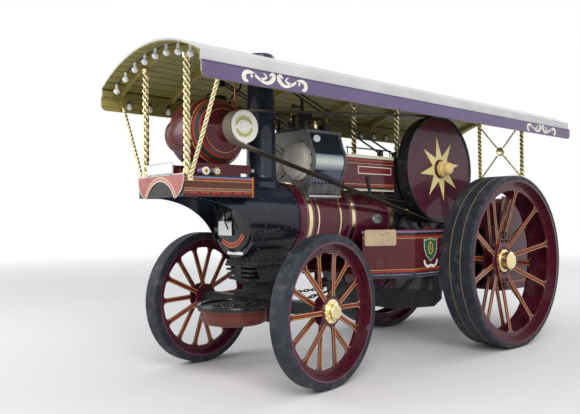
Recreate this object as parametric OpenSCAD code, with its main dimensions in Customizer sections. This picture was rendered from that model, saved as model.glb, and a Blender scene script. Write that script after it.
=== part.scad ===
/* [Layout] */
// Length of the canopy, which is the whole length of the engine
canopy_len = 6390; // [6200:10:6600]
// Distance of the hind axle behind the middle of the canopy
hind_y = 1233; // [1150:1:1300]
// Distance between the front and hind axles
wheelbase = 3120; // [3000:10:3250]
// Distance of the crankshaft ahead of the hind axle
crank_ahead = 718; // [690:1:760]
// Height of the crankshaft above the ground
crank_z = 2217; // [2190:1:2240]
// Height of the middle of the boiler barrel
boiler_z = 1610; // [1590:1:1625]

/* [Hind wheels] */
// Diameter over the hind tyres
hind_d = 2130; // [2080:10:2160]
// Width of a hind tyre
hind_w = 415; // [380:5:430]
// Thickness of the rubber on the hind wheels
hind_rubber = 55; // [45:1:65]
// Distance from the middle of the engine to a hind tyre's outer face
hind_face_x = 1227; // [1215:1:1240]
// Spokes in each of the two rows of a hind wheel
hind_spokes = 10; // [8:1:11]
// Diameter of the hind axle
hind_axle_d = 130; // [110:2:150]

/* [Front wheels] */
// Diameter over the front tyres
front_d = 1468; // [1440:2:1490]
// Width of a front tyre
front_w = 175; // [160:5:190]
// Thickness of the rubber on the front wheels
front_rubber = 70; // [55:1:80]
// Distance from the middle of the axle to a front tyre's outer face
front_face_x = 982; // [970:1:1000]
// Spokes in each of the two rows of a front wheel
front_spokes = 7; // [6:1:8]
// Diameter of the front axle's ends
front_axle_d = 90; // [80:2:100]
// Angle at which the front axle stands, towards the left
steer_rest = 9; // [0:1:12]

/* [Boiler] */
// Radius of the smokebox
smokebox_r = 385; // [375:1:390]
// Radius of the boiler barrel over its lagging
barrel_r = 398; // [390:1:402]
// Thickness of the smokebox plate
smokebox_t = 12; // [8:1:16]
// Smokebox front ahead of the front axle
smokebox_ahead = 310; // [290:5:330]
// Length of the smokebox
smokebox_len = 560; // [520:10:580]
// Radius of the smokebox door
door_r = 330; // [310:1:335]
// Length of the firebox
firebox_len = 1000; // [950:10:1030]
// Bottom of the firebox above the ground
firebox_z = 780; // [760:5:820]
// Half the width over the hornplates
horn_x = 412; // [408:1:416]
// Thickness of a hornplate
horn_t = 12; // [8:1:16]

/* [Chimney] */
// Diameter of the chimney at its top
chimney_d = 272; // [262:2:284]
// Diameter of the chimney at its foot
chimney_foot_d = 322; // [314:2:332]
// Height of the chimney's top above the ground
chimney_top = 3450; // [3400:5:3480]
// Diameter of the chimney's cap
cap_d = 430; // [400:5:450]

/* [Flywheel and belt] */
// Diameter of the flywheel
flywheel_d = 1320; // [1290:2:1340]
// Flywheel's outer face from the middle of the engine
flywheel_x = 600; // [590:1:610]
// Width of the flywheel's rim
flywheel_w = 155; // [145:1:160]
// Diameter of the crankshaft
shaft_d = 110; // [100:2:120]
// Diameter of the dynamo's pulley
pulley_d = 300; // [280:2:320]
// Module of the gear teeth
gear_m = 14.7; // [13.5:0.1:15.5]
// Width of the belt
belt_w = 125; // [100:5:135]
// Thickness of the belt
belt_t = 9; // [7:1:12]

/* [Dynamo] */
// Radius of the dynamo's drum
dynamo_r = 345; // [335:1:350]
// Distance of the dynamo's shaft ahead of the front axle
dynamo_ahead = 606; // [590:1:620]
// Height of the dynamo's shaft
dynamo_z = 2472; // [2465:1:2490]

/* [Canopy] */
// Half the width of the canopy
canopy_x = 980; // [960:5:1000]
// Height of the roof's ridge
ridge_z = 3245; // [3230:1:3270]
// Height of the lower edge of the side boards
board_z = 2762; // [2750:1:2780]
// Height of the side boards
board_h = 140; // [120:5:150]
// Outer radius of the roof's arch
roof_r = 2000; // [1950:10:2100]
// Thickness of the roof
roof_t = 28; // [22:1:36]
// Radius of the twisted columns
column_r = 24; // [20:1:27]
// Length of one turn of a column's twist
twist_pitch = 160; // [130:5:200]

/* [Steering] */
// Radius of the chain roller
roller_r = 60; // [52:2:64]
// Width of a chain link
link_w = 34; // [28:1:38]
// Distance from the middle of the axle to a chain
chain_x = 330; // [315:5:345]
// Radius of the hand wheel
hand_r = 185; // [170:5:195]
// Radius of the steering shaft
steer_shaft_r = 15; // [12:1:18]

/* [Tanks and tender] */
// Radius of the corners of tank and tender
corner_r = 70; // [40:5:90]
// Half the width over the belly tank
tank_x = 780; // [760:5:790]
// Top of the belly tank
tank_top = 1480; // [1450:5:1500]
// Bottom of the belly tank
tank_bottom = 935; // [920:5:960]
// Half the width of the tender
tender_x = 660; // [640:5:680]
// Length of the tender behind the hind axle
tender_back = 1770; // [1740:5:1800]
// Top of the tender's side sheets
tender_top = 1900; // [1850:5:1950]
// Diameter of the drawbar pin
pin_d = 50; // [40:1:60]

/* [Hidden] */
$fn = 48;
// Running clearance of a shaft in its hole, and the gap between pieces that seat on each other
run = 0.05;
seat = 0.3;
big = 9000;

front_y = hind_y - wheelbase;
crank_y = hind_y - crank_ahead;
smokebox_front = front_y - smokebox_ahead;
smokebox_rear = smokebox_front + smokebox_len;
firebox_front = hind_y - 400 - firebox_len;
firebox_rear = firebox_front + firebox_len;
chimney_y = front_y + 40;
dynamo_y = front_y - dynamo_ahead;
platform_front = front_y - 1150;
platform_back = front_y - 380;
platform_z = boiler_z + smokebox_r + 25;
platform_x = 430;
canopy_front = -canopy_len / 2;
board_t = 25;
tender_front = hind_y + 180;
tender_rear = hind_y + tender_back;
tender_floor = 1145;
tender_z = 600;
tank_front = front_y + 1070;
tank_bend = front_y + 1620;
tank_rear = front_y + 2270;
tank_in = 500;
tank_plate_z = tank_bottom + 40;
cylinder_front = front_y + 270;
cylinder_rear = front_y + 880;
cylinder_top = 2540;
cylinder_z = 2285;
cylinder_r = 250;
motion_top = 2335;
belt_x = flywheel_x - flywheel_w / 2;
roller_y = tank_front + 160;
roller_z = tank_bottom - roller_r - link_w - 11;
wrap_r = roller_r + seat + link_w / 2;
eye_r = 30;
eye_back = 62 + eye_r;
worm_wheel_r = 85;
worm_r = 26;
shaft_x = horn_x + 44;
hand_at = [shaft_x, hind_y + 120, 1820];
tender_body = hind_y + 520;
turntable_z = front_d / 2 + 171;
pivot_r = 40;
// Gearing: centres of the second and third shafts, and the angles at which their gears mesh
axle_teeth = 64;
second_teeth = 40;
mesh = 3;
third_angle = 130;
third_reach = (axle_teeth + 16) * gear_m / 2 + mesh;
third_at = [hind_y + third_reach * cos(third_angle), hind_d / 2 + third_reach * sin(third_angle)];
second_angle = 105;
second_reach = (second_teeth + 14) * gear_m / 2 + mesh;
second_at = [third_at[0] + second_reach * cos(second_angle), third_at[1] + second_reach * sin(second_angle)];
// Each shaft: centre, radius, outer end, and its gears by place, width, teeth and angle
shaft_table = [[second_at, 38, -700, [-665, 55, second_teeth, 0], [-500, 60, 14, second_angle + 180 + 180 / 14]],
    [third_at, 45, -640, [-500, 60, second_teeth, second_angle], [-600, 90, 16, third_angle + 180 + 180 / 16]]];
// Inner and outer ends of the hubs, from the middle of the wheel
front_hub_in = 62;
front_hub_out = 60;
hind_hub_in = 190;
hind_plate_x = -14;
drive_pin = 300;
front_phase = 38.57;
hind_phase = 30.2;
door_hinge = [-door_r + 8, smokebox_front - 22, boiler_z];
wheel_centre_hind = hind_face_x - hind_w / 2;
wheel_centre_front = front_face_x - front_w / 2;
// Columns stand at these places along the engine, half width and foot height beside them
column_table = [[front_y - 1097, 390, platform_z], [front_y + 1850, 357, motion_top + 10], [hind_y + 1707, 362, tender_top]];
band_places = [smokebox_rear + 80, smokebox_rear + 652, firebox_front - 150];
band_w = 24;
band_t = 4;
rib_d = 60;
bulb_r = 32;
bulb_neck = 14;
rib_places = [front_y - 1097, front_y - 500, front_y + 700, front_y + 1850, hind_y - 300, hind_y + 700, hind_y + 1707];

function roof_z(x) = ridge_z - roof_r + sqrt(roof_r * roof_r - x * x);
function under_z(x) = ridge_z - roof_r + sqrt(pow(roof_r - roof_t, 2) - x * x);
function rib_z(x) = ridge_z - roof_r + sqrt(pow(roof_r - roof_t - seat - rib_d, 2) - x * x);

// Turned pieces: a profile of [along, radius] points, turned about an axis along X
module turned_x(points) {
    rotate([90, 0, 90]) rotate_extrude($fn = 96) polygon([for (p = points) [p[1], p[0]]]);
}
module rod_x(r, from, to) { translate([from, 0, 0]) rotate([0, 90, 0]) cylinder(r = r, h = to - from); }
module rod_y(r, from, to) { translate([0, to, 0]) rotate([90, 0, 0]) cylinder(r = r, h = to - from); }
// A plate whose outline lies in the Y-Z plane, from x to x + t
module side_plate(x, t) { translate([x, 0, 0]) rotate([90, 0, 90]) linear_extrude(t) children(); }
// A plate whose outline lies in the X-Z plane, from y to y + t
module cross_plate(y, t) { translate([0, y + t, 0]) rotate([90, 0, 0]) linear_extrude(t) children(); }
module both_sides() { children(); mirror([1, 0, 0]) children(); }
// A straight bar from one point to another
module bar(a, b, r) {
    d = b - a;
    translate(a) rotate([0, acos(d[2] / norm(d)), atan2(d[1], d[0])]) cylinder(r = r, h = norm(d));
}
// A bar of three twisted strands, from one point to another
module twisted(a, b, r, hand) {
    d = b - a;
    turns = norm(d) / twist_pitch;
    translate(a) rotate([0, acos(d[2] / norm(d)), atan2(d[1], d[0])])
        linear_extrude(norm(d), twist = hand * 360 * turns, slices = ceil(8 * turns), $fn = 6)
            polygon([for (i = [0:5]) (i % 2 == 0 ? r : 0.62 * r) * [cos(60 * i), sin(60 * i)]]);
}
// A rectangle with round corners, from two of its corners
module rounded(a, b, r) {
    for (x = [a[0] + r, b[0] - r], y = [a[1] + r, b[1] - r]) translate([x, y]) circle(r = r);
    translate([a[0] + r, a[1]]) square([b[0] - a[0] - 2 * r, b[1] - a[1]]);
    translate([a[0], a[1] + r]) square([b[0] - a[0], b[1] - a[1] - 2 * r]);
}
module barrel_space() { translate([0, 0, boiler_z]) rod_y(barrel_r + seat, smokebox_rear - 20, firebox_front + 1); }
module smokebox_space() { translate([0, 0, boiler_z]) rod_y(smokebox_r + seat, smokebox_front - 900, smokebox_rear + 1); }

// Boiler: lagged barrel and firebox with its rounded top
module boiler() {
    color("#5a1420") {
        translate([0, 0, boiler_z]) rod_y(barrel_r, smokebox_rear, firebox_front);
        difference() {
            cross_plate(firebox_front, firebox_len) union() {
                translate([0, boiler_z]) circle(r = horn_x - horn_t - seat);
                translate([-horn_x + horn_t + seat, firebox_z]) square([2 * (horn_x - horn_t - seat), boiler_z - firebox_z]);
            }
            translate([-130, firebox_rear - 40, 1425]) cube([260, 60, 170]);
        }
    }
}
module boiler_bands() {
    color("#c8a850") for (y = band_places)
        translate([0, y, boiler_z]) rotate([-90, 0, 0]) linear_extrude(band_w, center = true) difference() {
            circle(r = barrel_r + band_t);
            circle(r = barrel_r + seat);
        }
}

// Smokebox: open barrel with its front ring, and the shell that runs on ahead under the dynamo
module smokebox() {
    shell_front = platform_front + 30;
    cut_a = 790;
    cut_b = 430;
    color("#1b1c20") {
        difference() {
            translate([0, 0, boiler_z]) rod_y(smokebox_r, smokebox_front, smokebox_rear - seat);
            translate([0, 0, boiler_z]) rod_y(smokebox_r - smokebox_t, smokebox_front + 24, smokebox_rear - 40);
            translate([0, 0, boiler_z]) rod_y(door_r - 25, smokebox_front - 1, smokebox_front + 30);
            translate([0, chimney_y, boiler_z]) cylinder(r = chimney_d / 2 - 10, h = smokebox_r + 50);
        }
        intersection() {
            translate([0, 0, boiler_z]) difference() {
                rod_y(smokebox_r, shell_front, smokebox_front);
                rod_y(smokebox_r - smokebox_t, shell_front - 1, smokebox_front + 1);
            }
            side_plate(-smokebox_r - 1, 2 * smokebox_r + 2) difference() {
                translate([shell_front, boiler_z - 210]) square([smokebox_front - shell_front, smokebox_r + 300]);
                polygon([for (i = [0:24]) [smokebox_front - 30 - cut_a + cut_a * cos(i * 3.75),
                    boiler_z - 210 + cut_b * sin(i * 3.75)], [shell_front - 10, boiler_z - 210 + cut_b],
                    [shell_front - 10, boiler_z - 220], [smokebox_front - 30, boiler_z - 220]]);
            }
        }
        // Hinge lugs of the door
        for (z = [-146, 122]) translate(door_hinge + [0, 0, z]) difference() {
            union() { cylinder(r = 12, h = 24); translate([-12, 0, 0]) cube([24, 22, 24]); }
            translate([0, 0, -1]) cylinder(r = 8 + run, h = 26);
        }
    }
}
module smokebox_door() {
    color("#2c2d31") {
        translate([0, smokebox_front - seat, boiler_z]) rotate([90, 0, 0]) rotate_extrude($fn = 96)
            polygon([[0, 0], [door_r - 15, 0], [door_r - 15, 8], [door_r, 8], [door_r, 20], [door_r - 30, 30],
                [door_r * 0.62, 46], [door_r * 0.3, 56], [0, 60]]);
        translate([0, smokebox_front - 60, boiler_z]) rotate([90, 0, 0]) cylinder(r = 26, h = 26);
        translate([0, smokebox_front - 84, boiler_z]) rotate([90, 0, 0]) cylinder(r = 9, h = 46);
        translate([0, smokebox_front - 105, boiler_z]) bar([0, 0, 0], [-55, 0, 100], 8);
        translate([0, smokebox_front - 122, boiler_z]) bar([0, 0, 0], [60, 0, -95], 8);
        for (z = [-1, 1]) {
            translate(door_hinge + [0, -8, z * 100 - 20]) cube([door_r * 0.9, 14, 40]);
            translate(door_hinge + [0, 0, z * 114 - 34]) cylinder(r = 8, h = 68);
            translate(door_hinge + [0, 0, z * 100 - 20]) cylinder(r = 12, h = 40);
        }
    }
}

// Chimney: flared base, barrel and cap
module chimney() {
    color("#17181a") translate([0, chimney_y, 0]) {
        difference() {
            rotate_extrude($fn = 96) polygon([[chimney_foot_d / 2 - 30, boiler_z + smokebox_r - 100],
                [chimney_foot_d / 2 + 44, boiler_z + smokebox_r - 100], [chimney_foot_d / 2 + 44, boiler_z + smokebox_r + 6],
                [chimney_foot_d / 2 + 25, boiler_z + smokebox_r + 18], [chimney_foot_d / 2 + 6, boiler_z + smokebox_r + 50],
                [chimney_foot_d / 2, boiler_z + smokebox_r + 80],
                [chimney_d / 2, chimney_top - 180], [cap_d / 2 - 20, chimney_top - 130], [cap_d / 2, chimney_top - 100],
                [cap_d / 2, chimney_top - 20], [cap_d / 2 - 15, chimney_top], [chimney_d / 2 - 10, chimney_top]]);
            translate([0, -chimney_y, 0]) smokebox_space();
        }
    }
}

// Casting under the smokebox that carries the front axle's pivot
module perch_bracket() {
    color("#202124") difference() {
        union() {
            translate([-240, front_y - 200, 1180]) cube([480, 400, 220]);
            translate([-270, front_y - 230, 1150]) cube([540, 460, 30]);
            translate([-150, front_y - 130, turntable_z + 80]) cube([300, 260, 1152 - turntable_z - 80]);
            for (x = [-230, -12, 206]) side_plate(x, 24) polygon([[front_y - 220, 1152], [front_y + 220, 1152],
                [front_y + 150, turntable_z + 104], [front_y - 150, turntable_z + 104]]);
            translate([-250, front_y - 190, turntable_z + 80]) cube([500, 380, 26]);
            translate([-150, front_y - 150, turntable_z + 30]) cube([300, 300, 51]);
            translate([0, front_y, turntable_z]) cylinder(r = 165, h = 34, $fn = 64);
        }
        smokebox_space();
        translate([0, front_y, turntable_z - 25]) cylinder(r = pivot_r + run, h = 210);
    }
}

// Forecarriage, drawn straight and turned about its pivot
module forecarriage_turn() { translate([0, front_y, 0]) rotate([0, 0, steer_rest]) children(); }
module fore_axle() {
    beam = 62;
    beam_x = wheel_centre_front - front_hub_in - 2.5;
    color("#26282b") forecarriage_turn() {
        translate([-beam_x, -beam, front_d / 2 - beam]) cube([2 * beam_x, 2 * beam, 2 * beam]);
        translate([0, 0, front_d / 2]) rod_x(front_axle_d / 2, -wheel_centre_front - 97, wheel_centre_front + 97);
        both_sides() translate([chain_x - 8, eye_back, front_d / 2]) rotate([0, 90, 0]) difference() {
            union() {
                cylinder(r = eye_r, h = 16);
                translate([-eye_r, -eye_r - 2, 0]) cube([2 * eye_r, eye_r + 2, 16]);
            }
            translate([0, 0, -1]) cylinder(r = 14, h = 18);
        }
        translate([-260, -110, front_d / 2 + beam]) cube([520, 220, 60]);
        translate([0, 0, front_d / 2 + 122]) cylinder(r = 170, h = turntable_z - seat - front_d / 2 - 122, $fn = 64);
        translate([0, 0, turntable_z - 25]) cylinder(r = pivot_r, h = 190);
    }
}
module fore_tray() {
    tray_r = 340;
    skin = 12;
    color("#7c2c20") forecarriage_turn() translate([0, -360, front_d / 2 - 160]) {
        intersection() {
            rotate_extrude($fn = 96) difference() {
                union() {
                    translate([0, 0]) square([tray_r - 70, 150]);
                    translate([tray_r - 70, 70]) circle(r = 70);
                    translate([0, 70]) square([tray_r, 75]);
                    translate([tray_r - 30, 135]) square([55, 18]);
                }
                translate([0, skin]) square([tray_r - 70, 200]);
                translate([tray_r - 70, 70]) circle(r = 70 - skin);
                translate([0, 70]) square([tray_r - skin, 200]);
            }
            translate([-400, -400, -1]) cube([800, 640, 200]);
        }
        // Closing plate behind and its two lugs on the axle
        translate([-tray_r + 60, 228, 0]) cube([2 * tray_r - 120, skin, 150]);
        both_sides() translate([80, 239, 60]) cube([60, 121 - 62 - seat, 90]);
    }
}

// A spoked wheel turned about X, its middle at the origin, its outside towards +X
module spoke(foot_r, hub_r, foot_x, hub_x, w, t) {
    len = foot_r - hub_r;
    tilt = atan2(foot_x - hub_x, len);
    translate([hub_x, 0, hub_r]) rotate([0, tilt, 0]) translate([-t / 2, 0, 0]) rotate([90, 0, 90])
        linear_extrude(t) union() {
            translate([-w / 2, -20]) square([w, len / cos(tilt) + 20]);
            translate([0, len / cos(tilt) - 46]) polygon([[-w / 2, 0], [-w * 0.62, 22], [-w * 1.1, 52], [w * 1.1, 52],
                [w * 0.62, 22], [w / 2, 0]]);
        }
}
module tyre(d, w, rubber, grooves) {
    color("#3c3d42") turned_x(concat([[-w / 2, d / 2 - rubber + seat], [-w / 2, d / 2 - 12], [-w / 2 + 12, d / 2]],
        [for (i = [1:1:grooves]) for (q = [[-7, 0], [-3, -8], [3, -8], [7, 0]])
            [-w / 2 + w * i / (grooves + 1) + q[0], d / 2 + q[1]]],
        [[w / 2 - 12, d / 2], [w / 2, d / 2 - 12], [w / 2, d / 2 - rubber + seat]]));
}
module front_wheel() {
    rim_r = front_d / 2 - front_rubber;
    ring_r = rim_r - 105;
    bore = front_axle_d / 2 + run;
    color("#5c1522") {
        turned_x([[-front_w / 2, rim_r - 22], [-front_w / 2, rim_r], [front_w / 2, rim_r], [front_w / 2, rim_r - 22]]);
        turned_x([[-45, rim_r - 21], [-45, rim_r - 34], [-9, rim_r - 34], [-9, ring_r], [9, ring_r], [9, rim_r - 34],
            [45, rim_r - 34], [45, rim_r - 21]]);
        turned_x([[-front_hub_in, bore], [-front_hub_in, 145], [-front_hub_in + 16, 145], [-40, 92], [38, 92],
            [front_hub_out - 16, 145], [front_hub_out, 145], [front_hub_out, bore]]);
        for (side = [0, 1], i = [0:front_spokes - 1])
            rotate([front_phase + (i + side / 2) * 360 / front_spokes, 0, 0])
                spoke(ring_r, 120, 0, side == 0 ? front_hub_out - 8 : -front_hub_in + 8, 52, 13);
    }
    color("#d9c06a") turned_x([[front_hub_out - 1, bore], [front_hub_out - 1, 115], [front_hub_out + 8, 115],
        [front_hub_out + 12, 84], [front_hub_out + 16, 80], [front_hub_out + 52, 80], [front_hub_out + 64, 66],
        [front_hub_out + 64, 0], [front_hub_out + 44, 0], [front_hub_out + 44, bore]]);
}
// Hind wheel: rim, two rows of spokes, turned hub, driving plate and cap
module hind_wheel() {
    rim_r = hind_d / 2 - hind_rubber;
    ring_r = rim_r - 130;
    ring_x = hind_w / 2 - 82;
    plate_x = hind_plate_x;
    bore = hind_axle_d / 2 + run;
    color("#5c1522") {
        turned_x([[-hind_w / 2, rim_r - 26], [-hind_w / 2, rim_r], [hind_w / 2, rim_r], [hind_w / 2, rim_r - 26]]);
        for (s = [-1, 1]) turned_x([[s * ring_x - 30, rim_r - 25], [s * ring_x - 30, rim_r - 44], [s * ring_x - 8, rim_r - 44],
            [s * ring_x - 8, ring_r], [s * ring_x + 8, ring_r], [s * ring_x + 8, rim_r - 44], [s * ring_x + 30, rim_r - 44],
            [s * ring_x + 30, rim_r - 25]]);
        turned_x([[-hind_hub_in, bore], [-hind_hub_in, 120], [plate_x - 156, 125], [plate_x - 156, 230], [plate_x - 132, 230],
            [plate_x - 112, 125], [plate_x - 30, 125], [plate_x - 24, 230], [plate_x + 1, 230], [plate_x + 1, bore]]);
        for (i = [0:hind_spokes - 1]) {
            rotate([hind_phase + i * 360 / hind_spokes, 0, 0]) spoke(ring_r, 210, ring_x, plate_x - 12, 60, 15);
            rotate([hind_phase + (i + 0.5) * 360 / hind_spokes, 0, 0]) spoke(ring_r, 210, -ring_x, plate_x - 144, 60, 15);
        }
        // Driving plate with its two pins
        translate([plate_x, 0, 0]) rotate([90, 0, 90]) linear_extrude(20) difference() {
            union() {
                circle(r = 180);
                for (s = [-1, 1]) translate([0, s * drive_pin]) circle(r = 64);
                polygon([[-172, 52], [-54, drive_pin + 34], [54, drive_pin + 34], [172, 52], [172, -52],
                    [54, -drive_pin - 34], [-54, -drive_pin - 34], [-172, -52]]);
            }
            circle(r = bore);
        }
        for (s = [-1, 1]) translate([0, 0, s * drive_pin]) rod_x(24, plate_x - 10, plate_x + 56);
    }
    color("#d9c06a") turned_x([[plate_x + 19, bore], [plate_x + 19, 140], [plate_x + 27, 140], [plate_x + 30, 118],
        [plate_x + 34, 114], [plate_x + 118, 110], [plate_x + 130, 92], [plate_x + 131, 0], [plate_x + 115, 0], [plate_x + 115, bore]]);
}
module place_front(side) {
    forecarriage_turn() translate([side * wheel_centre_front, 0, front_d / 2]) children();
}
module place_hind(side) { translate([side * wheel_centre_hind, hind_y, hind_d / 2]) children(); }
module turned_for(side) { if (side > 0) children(); else mirror([1, 0, 0]) children(); }

module front_tyre_left() { place_front(1) tyre(front_d, front_w, front_rubber, 0); }
module front_tyre_right() { place_front(-1) tyre(front_d, front_w, front_rubber, 0); }
module front_wheel_left() { place_front(1) front_wheel(); }
module front_wheel_right() { place_front(-1) turned_for(-1) front_wheel(); }
module hind_tyre_left() { place_hind(1) tyre(hind_d, hind_w, hind_rubber, 2); }
module hind_tyre_right() { place_hind(-1) tyre(hind_d, hind_w, hind_rubber, 2); }
module hind_wheel_left() { place_hind(1) hind_wheel(); }
module hind_wheel_right() { place_hind(-1) turned_for(-1) hind_wheel(); }

// Hind axle with the final gear and the two shafts that drive it, on the right-hand side
module hind_axle() {
    color("#3a3c40") {
        translate([0, hind_y, hind_d / 2]) {
            rod_x(hind_axle_d / 2, -wheel_centre_hind - 89, wheel_centre_hind + 89);
            translate([-600, 0, 0]) rotate([90, 0, 90]) linear_extrude(90) difference() {
                gear(axle_teeth, third_angle);
                for (i = [0:5]) rotate(i * 60) difference() {
                    intersection() {
                        circle(r = gear_r(axle_teeth) - 62);
                        polygon([[0, 0], [900, -360], [900, 360]]);
                    }
                    circle(r = 150);
                }
            }
        }
        // Second and third shafts, on the right-hand hornplate
        for (g = shaft_table) translate([0, g[0][0], g[0][1]]) {
            rod_x(g[1], g[2], -horn_x - seat);
            rod_x(90, -horn_x - 22, -horn_x - seat);
            for (q = [g[3], g[4]]) translate([q[0], 0, 0]) rotate([90, 0, 90]) linear_extrude(q[1]) gear(q[2], q[3]);
        }
    }
}

// Cylinder block with its steam chest, on the boiler
module cylinder_block() {
    len = cylinder_rear - cylinder_front;
    color("#3d3f43") difference() {
        union() {
            // Two cylinders side by side under one chest
            cross_plate(cylinder_front, len) union() {
                for (x = [-150, 150]) translate([x, cylinder_z]) circle(r = cylinder_r);
                translate([-300, 1820]) square([600, cylinder_top - 1820]);
                translate([-330, cylinder_z]) square([660, cylinder_top - cylinder_z - 60]);
            }
            // Flanges at both ends
            for (y = [cylinder_front, cylinder_rear - 30]) cross_plate(y, 30) union() {
                for (x = [-150, 150]) translate([x, cylinder_z]) circle(r = cylinder_r + 12);
                translate([-345, cylinder_z]) square([690, cylinder_top - cylinder_z]);
            }
            // Saddle over the barrel
            translate([-330, cylinder_front, 1830]) cube([660, len, 150]);
            translate([-380, cylinder_front - 14, cylinder_top - 4]) cube([760, len + 28, 28]);
            // Chest lid with its dome
            side_plate(-250, 500) polygon([[cylinder_front + 100, cylinder_top + 20], [cylinder_front + 130, cylinder_top + 88],
                [cylinder_front + 430, cylinder_top + 88], [cylinder_front + 470, cylinder_top + 20]]);
            translate([0, cylinder_front + 510, cylinder_top + 20]) cylinder(r = 62, h = 60);
        }
        barrel_space();
        smokebox_space();
        translate([0, band_places[0], boiler_z]) rod_y(barrel_r + band_t + seat, -band_w / 2 - seat, band_w / 2 + seat);
    }
}
module cylinder_covers() {
    color("#a9a8a2") for (x = [-220, 220]) translate([x, cylinder_front - seat, cross_z]) rotate([90, 0, 0])
        rotate_extrude($fn = 96) polygon([[0, 0], [165, 0], [165, 22], [158, 24], [152, 66], [136, 78], [0, 84]]);
}
module safety_valves() {
    color("#b89a48") translate([0, cylinder_front + 280, cylinder_top + 88 + seat]) {
        for (x = [-60, 60]) translate([x, 0, 0]) rotate_extrude() polygon([[0, 0], [34, 0], [34, 20], [22, 30], [20, 120],
            [30, 130], [30, 150], [0, 160]]);
        translate([0, 80, 0]) rotate_extrude() polygon([[0, 0], [36, 0], [36, 16], [24, 24], [24, 110], [40, 120], [40, 190],
            [20, 200], [14, 300], [24, 310], [24, 350], [0, 360]]);
        translate([0, 80, 240]) rod_y(10, -130, 0);
        translate([0, -50, 240]) sphere(r = 26);
        // Lubricator beside them
        translate([150, 40, 0]) rotate_extrude() polygon([[0, 0], [30, 0], [30, 12], [16, 20], [16, 60], [44, 66], [44, 150],
            [30, 168], [0, 172]]);
    }
}

// Side plates between the cylinders and the hornplates
module motion_covers() {
    color("#5c1522") both_sides() difference() {
        side_plate(horn_x - horn_t, horn_t) translate([cylinder_rear + seat, 1925])
            square([firebox_front - cylinder_rear - 2 * seat, motion_top - 1925]);
        barrel_space();
    }
}
module hornplates() {
    bracket = column_table[1];
    color("#1d1e21") both_sides() difference() {
        union() {
            side_plate(horn_x - horn_t, horn_t) polygon([[firebox_front, firebox_z], [firebox_front, motion_top],
                [crank_y + 260, motion_top], [firebox_rear + 40, 1660], [firebox_rear + 260, 1450], [tender_body - seat, 1450],
                [tender_body - seat, tender_z + 60], [firebox_rear, tender_z + 60]]);
            translate([bracket[1] - column_r - 10, bracket[0] - 40, motion_top - 20])
                cube([horn_x - bracket[1] + column_r + 10, 80, 30]);
        }
        translate([0, hind_y, hind_d / 2]) rod_x(hind_axle_d / 2 + 2, 0, 600);
        translate([0, crank_y, crank_z]) rod_x(shaft_d / 2 + 2, 0, 600);
    }
    // Bearings of the crankshaft inside and of the hind axle outside
    color("#303236") both_sides() {
        translate([horn_x - horn_t - 60 - seat, 0, 0]) difference() {
            union() {
                translate([0, crank_y - 95, crank_z - 90]) cube([60, 190, 90]);
                translate([0, crank_y, crank_z]) rod_x(92, 0, 60);
            }
            translate([0, crank_y, crank_z]) rod_x(shaft_d / 2 + run, -1, 61);
        }
        translate([horn_x + seat, 0, 0]) difference() {
            translate([0, hind_y, hind_d / 2]) rod_x(125, 0, 70);
            translate([0, hind_y, hind_d / 2]) rod_x(hind_axle_d / 2 + seat, -1, 71);
        }
    }
}

// Crankshaft with its two throws, and the motion ahead of it
throw_r = 130;
throw_x = [-190, 190];
throw_angle = [45, -45];
cross_y = cylinder_rear + 420;
cross_z = 2255;
module crankshaft() {
    web = 40;
    color("#8d9094") translate([0, crank_y, crank_z]) {
        rod_x(shaft_d / 2, -700, throw_x[0] - 70);
        rod_x(shaft_d / 2, throw_x[0] + 70, throw_x[1] - 70);
        rod_x(shaft_d / 2, throw_x[1] + 70, flywheel_x + 58);
        for (k = [0, 1]) rotate([throw_angle[k], 0, 0]) {
            for (s = [-75, 75 - web]) translate([throw_x[k] + s, 0, 0]) rotate([90, 0, 90]) linear_extrude(web) union() {
                circle(r = 80);
                translate([-throw_r, 0]) circle(r = 62);
                polygon([[0, 80], [-throw_r, 62], [-throw_r, -62], [0, -80]]);
            }
            translate([0, -throw_r, 0]) {
                rod_x(45, throw_x[k] - 40, throw_x[k] + 40);
                // Big end with the stub of its rod
                rod_x(76, throw_x[k] - 30, throw_x[k] + 30);
            }
        }
        for (k = [0, 1]) {
            pin = [throw_x[k], -throw_r * cos(throw_angle[k]), -throw_r * sin(throw_angle[k])];
            aim = [throw_x[k], cross_y - crank_y, cross_z - crank_z];
            d = (aim - pin) / norm(aim - pin);
            bar(pin + 60 * d, pin + 95 * d, 24);
        }
        // Pinions, out of mesh while the engine drives the dynamo
        for (q = [[-600, 13], [-540, 17]]) translate([q[0], 0, 0]) rotate([90, 0, 90]) linear_extrude(52) gear(q[1], 0);
    }
}
// Gears by their number of teeth, with one tooth's middle at the angle from
function gear_r(teeth) = teeth * gear_m / 2;
module gear(teeth, from) { rotate(from) gear_outline(gear_r(teeth), teeth); }
module gear_outline(r, teeth) {
    a = 360 / teeth;
    polygon([for (i = [0:teeth - 1], q = [[-0.25, -9], [-0.13, 9], [0.13, 9], [0.25, -9]])
        [(r + q[1]) * cos((i + q[0]) * a), (r + q[1]) * sin((i + q[0]) * a)]]);
}
module motion_rods() {
    color("#9a9da1") for (k = [0, 1]) {
        pin = [throw_x[k], crank_y - throw_r * cos(throw_angle[k]), crank_z - throw_r * sin(throw_angle[k])];
        cross = [throw_x[k], cross_y, cross_z];
        d = (cross - pin) / norm(cross - pin);
        bar(cross, pin + 106 * d, 24);
        bar([throw_x[k], cylinder_rear + seat, cross_z], cross, 22);
        translate(cross - [34, 60, 45]) cube([68, 120, 90]);
        for (z = [-75, 55]) translate([throw_x[k] - 30, cylinder_rear + seat, cross_z + z]) cube([60, 620, 20]);
    }
}
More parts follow.
